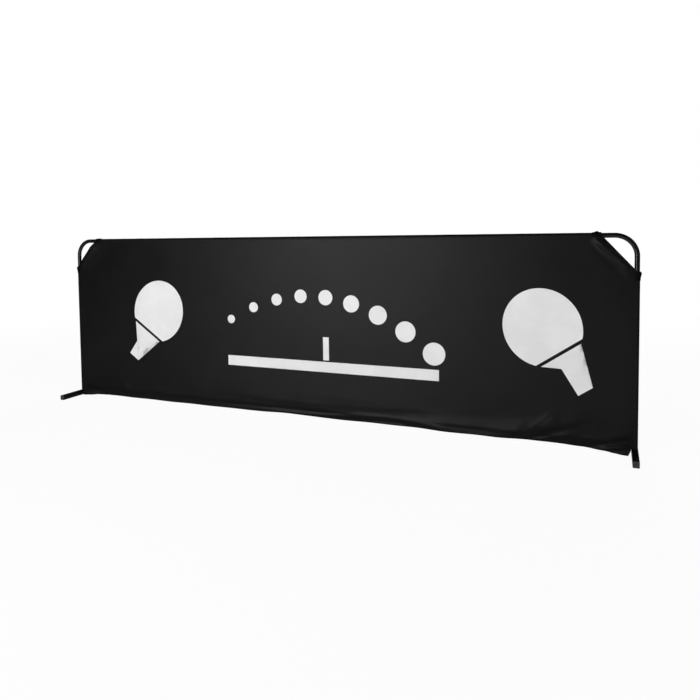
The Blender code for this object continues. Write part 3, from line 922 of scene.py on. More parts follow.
# Each crease: its path, its width, its height and, for some, how much wider it is above its path.
FRONT_CREASES = (
    # the slack between the feet
    Crease(
        ((-0.38, 0.094), (-0.28, 0.072), (-0.18, 0.065), (0.04, 0.067), (0.18, 0.070)),
        0.011, 0.0015, 4.0,
    ),
    Crease(
        ((0.12, 0.069), (0.22, 0.072), (0.34, 0.076), (0.45, 0.083), (0.55, 0.082)),
        0.011, 0.0015, 4.0,
    ),
    Crease(((-0.36, 0.020), (-0.04, 0.021), (0.09, 0.025), (0.20, 0.031)), 0.009, 0.0036),
    Crease(
        ((0.12, 0.028), (0.20, 0.033), (0.30, 0.036), (0.42, 0.034), (0.52, 0.027), (0.60, 0.021)),
        0.009, 0.0042,
    ),
    Crease(((0.24, 0.015), (0.34, 0.016), (0.46, 0.016), (0.56, 0.015)), 0.005, 0.0020),
    # the long fold that climbs to the right, and the fan above it
    Crease(
        (
            (0.40, 0.030), (0.49, 0.020), (0.58, 0.010), (0.65, 0.007), (0.70, 0.011),
            (0.75, 0.021), (0.80, 0.033), (0.85, 0.048), (0.91, 0.074),
        ),
        0.013, 0.0125, 3.2,
    ),
    Crease(((0.820, 0.044), (0.866, 0.081), (0.904, 0.118)), 0.006, 0.0014),
    Crease(((0.852, 0.050), (0.888, 0.080), (0.914, 0.106)), 0.005, 0.0010),
    Crease(((0.775, 0.030), (0.795, 0.054), (0.810, 0.080)), 0.007, 0.0004),
    Crease(
        ((0.850, 0.052), (0.880, 0.060), (0.914, 0.070), (0.961, 0.086), (1.020, 0.108)),
        0.011, 0.0036, 3.0,
    ),
    # the pull towards the right foot
    Crease(((0.840, 0.016), (0.880, 0.025), (0.936, 0.041), (0.980, 0.055)), 0.008, 0.0040),
    Crease(
        (
            (0.950, 0.028), (1.000, 0.030), (1.035, 0.035),
            (1.083, 0.046), (1.129, 0.061), (1.156, 0.068),
        ),
        0.009, 0.0050, 2.6,
    ),
    Crease(((1.040, 0.011), (1.083, 0.018), (1.129, 0.029), (1.156, 0.036)), 0.006, 0.0040),
    Crease(((1.060, 0.006), (1.110, 0.012), (1.140, 0.017)), 0.004, -0.0026),
    # under the right cut corner
    Crease(((1.028, 0.706), (1.042, 0.684), (1.054, 0.666), (1.070, 0.646)), 0.009, 0.0056),
    Crease(((1.060, 0.666), (1.080, 0.645), (1.096, 0.628)), 0.006, 0.0040),
    Crease(((1.090, 0.642), (1.108, 0.624), (1.124, 0.606)), 0.006, 0.0036),
    Crease(((0.985, 0.690), (1.020, 0.650), (1.060, 0.610), (1.110, 0.560)), 0.022, 0.0012),
    # the left end
    Crease(((-1.136, 0.036), (-1.100, 0.030), (-1.060, 0.022)), 0.006, -0.0018),
    Crease(((-1.140, 0.052), (-1.090, 0.046), (-1.030, 0.034)), 0.008, 0.0014),
    Crease(((-0.930, 0.076), (-0.890, 0.054), (-0.850, 0.032)), 0.009, 0.0018),
    Crease(((-0.800, 0.070), (-0.700, 0.048), (-0.600, 0.034)), 0.014, 0.0014),
    Crease(((-1.000, 0.690), (-1.034, 0.650), (-1.078, 0.608), (-1.120, 0.560)), 0.010, 0.0012),
)
BACK_CREASES = (
    Crease(((-0.64, 0.070), (-0.30, 0.058), (0.06, 0.050)), 0.012, 0.0022),
    Crease(((0.30, 0.048), (0.52, 0.058), (0.81, 0.072)), 0.012, 0.0022),
    Crease(((-1.010, 0.095), (-0.955, 0.065), (-0.900, 0.040)), 0.014, 0.0022),
    Crease(((0.925, 0.040), (0.990, 0.062), (1.046, 0.100)), 0.014, 0.0022),
    Crease(((0.990, 0.690), (1.035, 0.650), (1.085, 0.595), (1.128, 0.545)), 0.013, 0.0026),
    Crease(((-0.990, 0.690), (-1.035, 0.650), (-1.085, 0.595), (-1.128, 0.545)), 0.013, 0.0024),
)


@dataclass(frozen=True)
class CoverShape:
    """Where the cover's two faces lie, with their folds, their seams and their lower edge."""

    sizes: BarrierSizes = SIZES
    fade: float = 0.016  # folds flatten out this near the seams
    billow: float = 0.0007
    ripple: float = 0.0011  # where the cloth is loosest
    loosest: Place = (0.03, 0.07)  # the middle of that height, and how far it reaches
    slack: float = 0.36  # the share of the way in that the front's lower edge falls short of
    flare: float = 0.011  # how far forward the loose ends of the lower edge hang
    proud: float = 0.0072  # how far the cut edges stand off the frame
    proud_reach: float = 0.045  # how far from the cut edge that is felt
    tab_start: float = 0.006  # it starts this far from the tubes' axes
    tab_rise: Place = (0.035, 0.022)  # and grows over these widths from an upright and the top
    seam_reach: float = 0.014  # how far the puckers of the top and slanted seams go
    side_reach: float = 0.012
    hem_reach: float = 0.007
    over_rail: float = 0.0087  # middle of the cloth round the lower rail
    pressed: float = 0.0002  # how far the closed hem gives
    edge_wave: float = 0.0005
    lowest: float = 0.0008  # how near the floor the front's edge hangs
    back_end: float = 0.0015  # how near the floor the ends of the back's edge hang
    # the front's lower edge: places across the panel, and its height there
    front_edge: tuple[Place, ...] = (
        (-1.137, 0.0012), (-1.100, 0.0036), (-1.053, 0.0076), (-0.936, 0.0087),
        (-0.600, 0.0084), (-0.400, 0.0093), (-0.210, 0.0103), (-0.080, 0.0145),
        (0.080, 0.0112), (0.450, 0.0136), (0.930, 0.0132), (0.994, 0.0108),
        (1.060, 0.0067), (1.100, 0.0030), (1.118, 0.0011), (1.137, 0.0008),
    )

    def top(self, x: float) -> float:
        """The panel's upper edge, which drops along each cut corner."""
        s = self.sizes
        return s.axis_z - max(abs(x) - s.cut_x, 0.0) * s.cut_height / s.cut_width

    def edge(self, layer: Layer, x: float) -> float:
        """The height of the lower edge.

        Args:
            layer: Which face of the cover.
            x: Place across the panel.

        Returns:
            The height above the floor.
        """
        # the back's edge is the front's, read at other places
        place = x if layer is Layer.FRONT else 0.9 * x + 0.02 * math.sin(5 * x)
        level = height_along(self.front_edge, place, eased=True)
        level += self.edge_wave * math.sin(31 * x) * ease((1.05 - abs(x)) / 0.1)
        if layer is Layer.BACK:
            return level + (self.back_end - level) * self.sizes.towards_foot(x)
        return max(level, self.lowest)

    def from_sides(self, x: float, z: float) -> tuple[float, float, float]:
        """How far a place is from the upright's axis, the top tube's axis and the cut edge.

        Args:
            x: Place across the panel.
            z: Height above the floor.

        Returns:
            The three distances.
        """
        s = self.sizes
        side, top = s.axis_x - abs(x), s.axis_z - z
        slant = side * s.cut_height + top * s.cut_width - s.cut_width * s.cut_height
        return side, top, slant / s.cut_length

    def lift(self, layer: Layer, x: float, z: float) -> float:
        """How far folds and slack lift the cloth at a place.

        Args:
            layer: Which face of the cover.
            x: Place across the panel.
            z: Height above the floor.

        Returns:
            The lift, away from the frame.
        """
        creases = FRONT_CREASES if layer is Layer.FRONT else BACK_CREASES
        total = sum(crease.lift(x, z) for crease in creases)
        slack = noise.noise(Vector((2.6 * x, 4.2 * z, 3.1 * layer.value)))
        slack += 0.45 * noise.noise(Vector((7.0 * x, 11.0 * z, 5.7 * layer.value)))
        total += self.billow * (0.35 + slack)
        middle, reach = self.loosest
        ripple = noise.noise(Vector((9.0 * x - 4 * z, 30 * z, 8.3 * layer.value)))
        total += self.ripple * bell((z - middle) / reach) * ripple
        side, top, slant = self.from_sides(x, z)
        room = min(side, top, 2.4 * (slant - self.sizes.tape_width))
        return total * ease(room / self.fade)

    def depth(self, layer: Layer, x: float, z: float) -> float:
        """How far the middle of the cloth is from the frame's plane.

        Args:
            layer: Which face of the cover.
            x: Place across the panel.
            z: Height above the floor.

        Returns:
            The distance.
        """
        s = self.sizes
        turned = ease((s.hem_top - z) / (s.hem_top - s.hem_closed))
        turned *= ease((s.notch_x - abs(x)) / (s.notch_x - s.loose_x))
        turned *= 1 - (self.slack if layer is Layer.FRONT else 0.0)
        flat = s.wrap_radius + (s.hem_layer - s.wrap_radius) * turned
        clear = math.sqrt(max(self.over_rail**2 - (z - s.rail_z) ** 2, 0.0))
        hanging = s.towards_foot(x) if abs(x) < s.axis_x else 0.0
        hanging *= ease((s.hem_top - z) / s.hem_top)
        rest = max(flat + self.lift(layer, x, z), clear, s.hem_layer - self.pressed)
        return rest + self.flare * hanging + self.stand(x, z)

    def point(self, layer: Layer, x: float, z: float, out: float = 0.0) -> Vector:
        """A point on the cloth.

        Args:
            layer: Which face of the cover.
            x: Place across the panel.
            z: Height above the floor.
            out: How far to stand off the middle of the cloth, outwards.

        Returns:
            The point.
        """
        return Vector((x, layer.value * (self.depth(layer, x, z) + out), z))

    def stand(self, x: float, z: float) -> float:
        """How far the pull along a cut corner lifts the cloth beside its edge.

        Args:
            x: Place across the panel.
            z: Height above the floor.

        Returns:
            The lift in metres.
        """
        side, top, slant = self.from_sides(x, z)
        from_side, from_top = self.tab_rise
        ends = ease((side - self.tab_start) / from_side) * ease((top - self.tab_start) / from_top)
        along = 0.7 + 0.3 * ease((side - 0.04) / 0.05)  # a little less near the upright
        return self.proud * ends * along * ease(1 - slant / self.proud_reach)

    def seams(self, layer: Layer, x: float, z: float) -> Colour:
        """How near a place is to a level seam, to an upright one and to a slanted one.

        Args:
            layer: Which face of the cover.
            x: Place across the panel.
            z: Height above the floor.

        Returns:
            Three shares from 0 to 1.
        """
        side, top, slant = self.from_sides(x, z)
        hem = abs(z - self.edge(layer, x) - self.sizes.hem_turn)
        level = max(math.exp(-top / self.seam_reach), 0.7 * math.exp(-hem / self.hem_reach))
        slanted = math.exp(-slant / self.seam_reach)
        upright = math.exp(-side / self.side_reach)
        return (max(level, slanted), max(upright, slanted), slanted)


SHAPE = CoverShape()


class ClothMesh:
    """Collects the points and faces of one cloth piece, with its UV map and seam marks."""

    def __init__(self, name: str) -> None:
        """Starts an empty sheet.

        Args:
            name: The piece's name.
        """
        self.name = name
        self.points: list[Vector] = []
        self.flats: list[Place] = []
        self.marks: list[Colour] = []
        self.faces: list[tuple[int, ...]] = []

    def add(self, point: Vector, flat: Place, marks: Colour = (0.0, 0.0, 0.0)) -> int:
        """Adds a point.

        Args:
            point: Its place.
            flat: Its place on the flat cloth, in metres.
            marks: How near it is to the seams.

        Returns:
            Its number.
        """
        self.points.append(point)
        self.flats.append(flat)
        self.marks.append(marks)
        return len(self.points) - 1

    def grid(self, rows: Sequence[Sequence[int]], flip: bool) -> None:
        """Fills the quads between rows of points, which run along the sheet.

        Args:
            rows: The numbers of the points in each row.
            flip: Whether quads turn the other way round for their faces to point outwards.
        """
        for low, high in zip(rows, rows[1:]):
            for quad in zip(low, low[1:], high[1:], high):
                corners = tuple(dict.fromkeys(quad))  # where the sheet tapers to a point
                if len(corners) > 2:
                    self.faces.append(corners[::-1] if flip else corners)

    def lay(
        self,
        section: Sequence[Sequence[float]],
        places: Sequence[float],
        knot: Callable[..., tuple],
        flip: bool,
    ) -> None:
        """Lays the whole sheet as one grid.

        Args:
            section: The points of its section.
            places: The places along it.
            knot: Gives what add takes, from a point of the section and a place.
            flip: Whether quads turn the other way round for their faces to point outwards.
        """
        self.grid([[self.add(*knot(spot, at)) for at in places] for spot in section], flip)

    def finish(self, thickness: float, finish: Finish) -> bpy.types.Object:
        """Makes the piece, with its thickness.

        Args:
            thickness: The cloth's thickness, half to each side.
            finish: What it is made of.

        Returns:
            The piece.
        """
        mesh = bpy.data.meshes.new(self.name)
        mesh.from_pydata(self.points, [], self.faces)
        flat = mesh.uv_layers.new(name=FLAT_MAP)
        for loop in mesh.loops:
            flat.data[loop.index].uv = self.flats[loop.vertex_index]
        marks = mesh.color_attributes.new(SEAM_MARKS, "FLOAT_COLOR", "POINT")
        for index, mark in enumerate(self.marks):
            marks.data[index].color = (*mark, 1.0)
        mesh.shade_smooth()
        piece = finish.put_on(placed(mesh))
        thicken(piece, thickness, 0)
        smooth(piece, 50)
        return piece


# Sewing


class Needle:
    """Sews rows of one small stitch."""

    def __init__(
        self, length: float = 0.0031, pitch: float = 0.0040, thread: float = 0.00042
    ) -> None:
        """Models the stitch: a short thread whose ends dip into the cloth.

        Args:
            length: The stitch's length.
            pitch: From one stitch to the next.
            thread: The thread's diameter.
        """
        self.pitch = pitch
        deselect()
        bpy.ops.mesh.primitive_cylinder_add(
            vertices=6, radius=thread / 2, depth=length * 0.55, rotation=(0, math.radians(90), 0)
        )
        stitch = bpy.context.object
        bpy.ops.object.transform_apply(rotation=True)
        with editing(stitch):
            for sign in (-1, 1):
                Part.FACE.select(stitch, lambda face: face.normal.x * sign > 0.9)
                bpy.ops.mesh.extrude_region_move(
                    TRANSFORM_OT_translate={"value": (sign * length * 0.225, 0, -thread * 0.55)}
                )
                bpy.ops.transform.resize(value=(1.0, 0.6, 0.6))
        mesh = stitch.data
        self.points = [vert.co.copy() for vert in mesh.vertices]
        self.faces = [tuple(face.vertices) for face in mesh.polygons]
        bpy.data.objects.remove(stitch)

    def sew(
        self, name: str, route: Callable[[float], tuple[Vector, Vector]], start: float, end: float
    ) -> bpy.types.Object:
        """Sews one row on the cover.

        Args:
            name: The row's name.
            route: Gives the place and the outward direction at a distance along the row.
            start: Where the row starts.
            end: Where it ends.

        Returns:
            The row as one piece.
        """
        points: list[Vector] = []
        faces: list[tuple[int, ...]] = []
        count = int((end - start) / self.pitch)
        for step in range(count):
            middle = start + (step + 0.5) * (end - start) / count
            before, _ = route(middle - self.pitch / 4)
            after, _ = route(middle + self.pitch / 4)
            place, outwards = route(middle)
            along = (after - before).normalized()
            across = outwards.cross(along).normalized()
            turn = Matrix((along, across, along.cross(across))).transposed()
            base = len(points)
            points.extend(place + turn @ point for point in self.points)
            faces.extend(tuple(base + index for index in face) for face in self.faces)
        mesh = bpy.data.meshes.new(name)
        mesh.from_pydata(points, [], faces)
        mesh.shade_smooth()
        return FINISHES.thread.put_on(placed(mesh))


# Cover


@dataclass
class FacePanel:
    """One face of the cover: its panel, the edge that turns in under the rail and the tabs."""

    layer: Layer
    pitch: float
    needle: Needle
    shape: CoverShape = SHAPE
    sizes: BarrierSizes = SIZES
    hem_rows: int = 14
    lean: float = 0.0072  # how far the loose ends' upright edge leans towards the feet
    lean_rise: float = 0.019  # it starts at the floor and is complete this far up
    lean_top: float = 0.040
    lean_fall: float = 0.014
    lean_width: float = 0.030
    slant: float = 0.030  # width of the slanted line between the edge and a loose end
    sewn_to: float = 0.45  # where the hem's stitches end on that line, as a share of its width
    sewn_from: float = 0.62  # and where those of a loose end start
    sewn_clear: float = 0.004  # from a loose end's last stitch to its upright edge
    slit: float = 0.0003  # between a loose end and the cloth beside the foot
    thinnest: float = 0.00001  # where the cloth is no higher than this it ends in a point
    row_counts: tuple[int, int, int] = (30, 46, 16)
    row_levels: Place = (0.19, 0.62)
    mean_edge: float = 0.009
    loose_area: float = 0.25 * 0.035  # what the two loose ends take off the cloth

    def build(self) -> None:
        """Builds the cloth, its loose lower ends and its stitches."""
        s = self.sizes
        word = self.layer.word
        tip = s.loose_x + self.slant
        outer = (s.loose_x, tip, s.notch_x, s.axis_x)
        xs = self._columns(-s.cut_x, s.cut_x, *outer, *(-x for x in outer))
        sheet = ClothMesh(f"{word}_cloth")
        upper = self._rows(sheet, xs)
        sheet.grid(upper, flip=self.layer is Layer.BACK)
        by_x = dict(zip(xs, upper[0]))
        self._lower(sheet, [x for x in xs if abs(x) <= tip], by_x, self._split)
        for side in Side:
            wing = [x for x in xs if s.notch_x <= side.value * x]
            self._lower(sheet, wing, by_x, lambda x: s.cover_bottom)
            self._loose_end(side, [x for x in xs if s.loose_x <= side.value * x <= s.notch_x])
        cloth = sheet.finish(s.cloth, FINISHES.cloth)
        stands_for(cloth, "frame", "cover_cloth", f"{word}_panel", f"{word}_hem_middle")
        end = s.loose_x + self.sewn_to * self.slant
        row = self.needle.sew(f"{word}_hem_stitches", self._hem_route, -end, end)
        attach(row, "frame")
        log.info("%s cloth: %d points", word, len(cloth.data.vertices))

    def _columns(self, *marks: float) -> list[float]:
        """The grid's columns, among them every one of the marks.

        Args:
            marks: Places across the panel that need a column.

        Returns:
            The columns, from left to right.
        """
        marks = sorted(set(marks))
        columns: list[float] = []
        for low, high in zip(marks, marks[1:]):
            columns += spread(low, high, self.pitch)[:-1]
        return columns + [marks[-1]]

    def _rows(self, sheet: ClothMesh, xs: Sequence[float]) -> list[list[int]]:
        """Adds the points above the hem, row by row.

        Args:
            sheet: The cloth.
            xs: The columns.

        Returns:
            The numbers of the points, from the hem up.
        """
        s = self.sizes
        levels = [s.hem_top, *self.row_levels, s.axis_z]
        heights: list[float] = []
        for low, high, count in zip(levels, levels[1:], self.row_counts):
            heights += [low + (high - low) * step / count for step in range(count)]
        heights.append(levels[-1])
        shares = [(z - s.hem_top) / (s.axis_z - s.hem_top) for z in heights]
        return [
            [self._point(sheet, x, s.hem_top + (self.shape.top(x) - s.hem_top) * share) for x in xs]
            for share in shares
        ]

    def _point(self, sheet: ClothMesh, x: float, z: float) -> int:
        """Adds one point of the cloth."""
        point = self.shape.point(self.layer, x, z)
        return sheet.add(point, (x, z), self.shape.seams(self.layer, x, z))

    def _split(self, x: float) -> float:
        """The height of the line between the fixed cloth and a loose end, or of the lower edge.

        Args:
            x: Place across the panel.

        Returns:
            The height above the floor.
        """
        s = self.sizes
        bottom = self.shape.edge(self.layer, x)
        share = min(max((abs(x) - s.loose_x) / self.slant, 0.0), 1.0)
        return bottom + (s.hem_top - bottom) * share

    def _lower(
        self,
        sheet: ClothMesh,
        xs: Sequence[float],
        by_x: dict[float, int],
        bottom: Callable[[float], float],
    ) -> None:
        """Adds a stretch below the hem line, joined to the cloth above.

        Args:
            sheet: The cloth.
            xs: The stretch's columns.
            by_x: The points on the hem line, by their column.
            bottom: Gives the height of the stretch's lower edge.
        """
        rows = []
        for step in range(self.hem_rows):
            row = []
            for x in xs:
                room = self.sizes.hem_top - bottom(x)
                z = bottom(x) + room * (step / self.hem_rows)
                row.append(self._point(sheet, x, z) if room > self.thinnest else by_x[x])
            rows.append(row)
        rows.append([by_x[x] for x in xs])
        sheet.grid(rows, flip=self.layer is Layer.BACK)

    def _leaning(self, x: float, z: float) -> float:
        """How far the upright edge of a loose end leans at a place."""
        lean = self.lean * ease(z / self.lean_rise) * ease((self.lean_top - z) / self.lean_fall)
        return lean * ease((abs(x) - self.sizes.notch_x + self.lean_width) / self.lean_width)

    def _loose_end(self, side: Side, xs: Sequence[float]) -> None:
        """Builds the end of the lower edge that a turning foot brushes aside.

        Args:
            side: The end of the barrier.
            xs: The columns.
        """
        s = self.sizes
        name = f"{self.layer.word}_{side.word}_loose_hem"
        sheet = ClothMesh(name)
        limit = s.notch_x - self.slit
        places = [min(max(x, -limit), limit) for x in xs]
        corner = self._point(sheet, side.value * s.loose_x, self._split(s.loose_x))
        rows = []
        for step in range(self.hem_rows + 1):
            row = []
            for x in places:
                bottom = self.shape.edge(self.layer, x)
                room = self._split(x) - bottom
                z = bottom + room * (step / self.hem_rows)
                point = x + side.value * self._leaning(x, z)
                row.append(self._point(sheet, point, z) if room > self.thinnest else corner)
            rows.append(row)
        sheet.grid(rows, flip=self.layer is Layer.BACK)
        piece = sheet.finish(s.cloth, FINISHES.cloth)
        inner, outer = s.loose_x + self.sewn_from * self.slant, s.notch_x - self.sewn_clear
        ends = sorted((side.value * inner, side.value * outer))
        stitches = self.needle.sew(f"{name}_stitches", self._hem_route, *ends)
        take(piece)
        stitches.select_set(True)
        bpy.ops.object.join()
        stands_for(piece, "frame", "cover_cloth", f"{self.layer.word}_hem_{side.word}_end")
        joint = f"{side.word}_foot_swivel"
        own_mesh(piece)
        flat = (max(places) - min(places), s.hem_top)
        area = sum(
            (b - a) * (self._split((a + b) / 2) - self.shape.edge(self.layer, (a + b) / 2))
            for a, b in zip(places, places[1:])
        )

    def _hem_route(self, x: float) -> tuple[Vector, Vector]:
        """The stitch line that holds the turned hem.

        Args:
            x: Place across the panel.

        Returns:
            The place and the outward direction.
        """
        shape, layer = self.shape, self.layer
        z = shape.edge(layer, x) + self.sizes.hem_turn
        place = shape.point(layer, x, z, self.sizes.cloth / 2)
        up = shape.point(layer, x, z + 0.002) - shape.point(layer, x, z - 0.002)
        outwards = up.cross(Vector((1.0, 0.0, 0.0))) * -layer.value
        if outwards.y * layer.value < 0:
            outwards.negate()
        return place, outwards.normalized()


@dataclass(frozen=True)
class WrapSection:
    """A strip's section round a tube: flat laps on the panels and a half round between."""

    radius: float
    lap: float
    snug: float  # how much closer the half round sits than the laps
    arc_steps: int = 16
    lap_steps: int = 2
    snug_angle: float = 1.45  # from the middle out to where it starts to close in
    snug_turn: float = 0.6  # the angle over which it does

    def points(self) -> list[Point]:
        """The section from the front lap over the tube to the back lap.

        Returns:
            Points of (outwards, y, distance along the section).
        """
        half = math.pi * self.radius / 2
        laps = [-self.lap * (1 - step / self.lap_steps) for step in range(self.lap_steps)]
        section = [(out, -self.radius, out - half) for out in laps]
        for step in range(self.arc_steps + 1):
            angle = math.pi * (step / self.arc_steps - 0.5)
            near = self.radius - self.snug * ease((self.snug_angle - abs(angle)) / self.snug_turn)
            section.append((near * math.cos(angle), near * math.sin(angle), self.radius * angle))
        section += [(out, self.radius, half - out) for out in reversed(laps)]
        return section


class Run(Named):
    """The three tubes that a strip is sewn over, by their direction along X from the middle."""

    TOP = 0
    LEFT = -1
    RIGHT = 1

    def place(self, out: float, y: float, along: float) -> Vector:
        """Places a point of a strip.

        Args:
            out: Distance from the tube's axis, away from the panel.
            y: Distance to the back of the panel.
            along: Place along the tube: X on the top tube, height on an upright.

        Returns:
            The point.
        """
        if self is Run.TOP:
            return Vector((along, y, SIZES.axis_z + out))
        return Vector((self.value * (SIZES.axis_x + out), y, along))

    @property
    def flip(self) -> bool:
        """Whether quads turn the other way round for their faces to point outwards."""
        return self is not Run.RIGHT


@dataclass
class Strips:
    """The strips between front and back: over the top tube and down each upright."""

    needle: Needle
    sizes: BarrierSizes = SIZES
    radius: float = 0.0094
    lap: float = 0.0042
    snug: float = 0.0008
    pitch: float = 0.012
    swell: float = 0.0003
    swell_reach: float = 0.0148  # from the middle of the strip to where it lies flat
    seam: float = 0.0165  # from the middle of the strip to its seams
    pucker: float = 0.006  # how far a seam puckers the cloth
    margin: float = 0.0014  # from the lap's edge to its stitches
    first_stitch: float = 0.003  # above a side strip's lower end
    past_cuff: float = 0.002  # from a cuff to the nearest stitch

    def build(self) -> None:
        """Builds the three strips with their stitches."""
        s = self.sizes
        self._strip(Run.TOP, -s.cut_x, s.cut_x)
        for run in (Run.LEFT, Run.RIGHT):
            self._strip(run, s.cover_bottom, s.cut_z)

    def _strip(self, run: Run, low: float, high: float) -> None:
        """Builds one strip between two places along its tube.

        Args:
            run: The tube.
            low: Where the strip starts.
            high: Where it ends.
        """

        def knot(spot: Point, at: float) -> tuple[Vector, Place, Colour]:
            """A point of the strip, on the flat cloth too, and how near the seams it is.

            Args:
                spot: A point of the section.
                at: Place along the tube.

            Returns:
                What ClothMesh.add takes.
            """
            out, y, along = spot
            ripple = noise.noise(Vector((at * 23, along * 90, ord(run.word[0]))))
            swell = self.swell * (ripple + 0.2)
            swell *= math.cos(min(abs(along) / self.swell_reach, 1) * math.pi / 2)
            scale = 1 + swell / self.radius
            near = math.exp(-abs(abs(along) - self.seam) / self.pucker)
            return run.place(out * scale, y * scale, at), (at, along), (near, 0.0, 0.0)

        section = WrapSection(self.radius, self.lap, self.snug).points()
        sheet = ClothMesh(f"{run.word}_strip")
        sheet.lay(section, spread(low, high, self.pitch), knot, run.flip)
        strip = sheet.finish(self.sizes.cloth, FINISHES.strip)
        stands_for(strip, "frame", "cover_cloth", f"{run.word}_gusset")
        sewn = [self._stitches(run, layer, low, high) for layer in Layer]
        width = math.pi * self.radius + 2 * self.lap
        log.info("%s strip: %.0f mm long", run.word, 1000 * (high - low))

    def _stitches(self, run: Run, layer: Layer, low: float, high: float) -> bpy.types.Object:
        """Sews the lap of a strip to one face of the cover.

        Args:
            run: The strip's tube.
            layer: The face.
            low: Where the strip starts.
            high: Where it ends.

        Returns:
            The row of stitches.
        """

        def route(along: float) -> tuple[Vector, Vector]:
            """A place on the lap, just inside its edge."""
            y = layer.value * (self.radius + self.sizes.cloth / 2)
            return run.place(-self.lap + self.margin, y, along), Vector((0, layer.value, 0))

        clear = self.sizes.cuff_length + self.past_cuff
        first = low + (clear if run is Run.TOP else self.first_stitch)
        name = f"{run.word}_{layer.word}_lap_stitches"
        row = self.needle.sew(name, route, first, high - clear)
        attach(row, "frame")
        return row


@dataclass
class Cuffs:
    """The strips' ends, turned back twice and sewn down, beside each cut corner."""

    needle: Needle
    sizes: BarrierSizes = SIZES
    radius: float = 0.0104
    lap: float = 0.0050
    snug: float = 0.0007
    thickness: float = 0.0010
    pitch: float = 0.0014
    flat_from: float = 0.0215  # from the middle of the cuff to where it lies flat
    wrinkle: float = 0.0006
    top_bump: Point = (0.45, 0.22, 0.0042)  # middle, width, height
    side_bump: Point = (0.76, 0.30, 0.0040)
    left_top: float = 0.3  # the left top cuff's bump against the right one's
    rows: Place = (0.12, 0.94)  # where its two rows of stitches are, as shares of its length
    drawn_in: float = 0.06  # the share of its length that each row draws in
    stitch_off: float = 0.0003  # from its surface to the middle of the thread
    marks: Colour = (0.4, 0.4, 0.0)  # puckered all over

    def build(self) -> None:
        """Builds the four cuffs."""
        s = self.sizes
        for side in Side:
            end = side.value * s.cut_x
            self._cuff(Run.TOP, side, end - side.value * s.cuff_length, end)
            self._cuff(Run(side.value), side, s.cut_z - s.cuff_length, s.cut_z)

    def _cuff(self, run: Run, side: Side, inner: float, outer: float) -> None:
        """Builds one cuff from its inner end to its open end.

        Args:
            run: Its tube.
            side: Its end of the barrier.
            inner: Where it starts along the tube.
            outer: Where it is open.
        """
        on_top = run is Run.TOP
        name = f"{side.word}_{'top' if on_top else 'side'}_cuff"
        seed = 11.0 * side.value + (4.0 if on_top else 0.0)
        low, high = sorted((inner, outer))
        middle, width, height = self.top_bump if on_top else self.side_bump
        if on_top and side is Side.LEFT:
            height *= self.left_top

        def knot(spot: Point, at: float) -> tuple[Vector, Place, Colour]:
            """A point of the cuff, on the flat cloth too, and how near the seams it is.

            Args:
                spot: A point of the section.
                at: Place along the tube.

            Returns:
                What ClothMesh.add takes.
            """
            out, y, along = spot
            share = (at - inner) / (outer - inner)
            pleat = noise.noise(Vector((along * 170, share * 2.2, seed)))
            wrinkle = noise.noise(Vector((along * 60, share * 9.0, seed + 3)))
            over = math.cos(min(abs(along) / self.flat_from, 1) * math.pi / 2)
            free = 1 - sum(0.5 * bell((share - row) / self.drawn_in) for row in self.rows)
            lift = height * bell((share - middle) / width) * (0.9 + 0.5 * pleat)
            lift += self.wrinkle * (0.3 + wrinkle)
            scale = 1 + max(lift, 0.0) * over * max(free, 0.1) / self.radius
            return run.place(out * scale, y * scale, at), (at, along), self.marks

        section = WrapSection(self.radius, self.lap, self.snug, 24, 3).points()
        sheet = ClothMesh(f"{name}_cloth")
        sheet.lay(section, spread(low, high, self.pitch), knot, run.flip)
        cuff = sheet.finish(self.thickness, FINISHES.cuff)
        stands_for(cuff, "frame", "cover_cloth", name)
        sewn = [
            self._stitches(f"{name}_stitches_{number}", run, inner + (outer - inner) * share)
            for number, share in enumerate(self.rows, 1)
        ]
        flat = (math.pi * self.radius + 2 * self.lap, high - low)
        log.info("%s: %.0f mm long", name, 1000 * (high - low))

    def _stitches(self, name: str, run: Run, at: float) -> bpy.types.Object:
        """Sews round the cuff at one place along it.

        Args:
            name: The row's name.
            run: The cuff's tube.
            at: The place along the tube.

        Returns:
            The row of stitches.
        """
        radius = self.radius + self.thickness / 2 + self.stitch_off

        def route(along: float) -> tuple[Vector, Vector]:
            """A place round the tube.

            Args:
                along: Distance round it from the outermost line.

            Returns:
                The place and the outward direction.
            """
            angle = along / self.radius
            out, y = math.cos(angle), math.sin(angle)
            place = run.place(out * radius, y * radius, at)
            return place, (place - run.place(0.0, 0.0, at)).normalized()

        half = math.pi * self.radius / 2
        row = self.needle.sew(name, route, -half, half)
        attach(row, "frame")
        return row


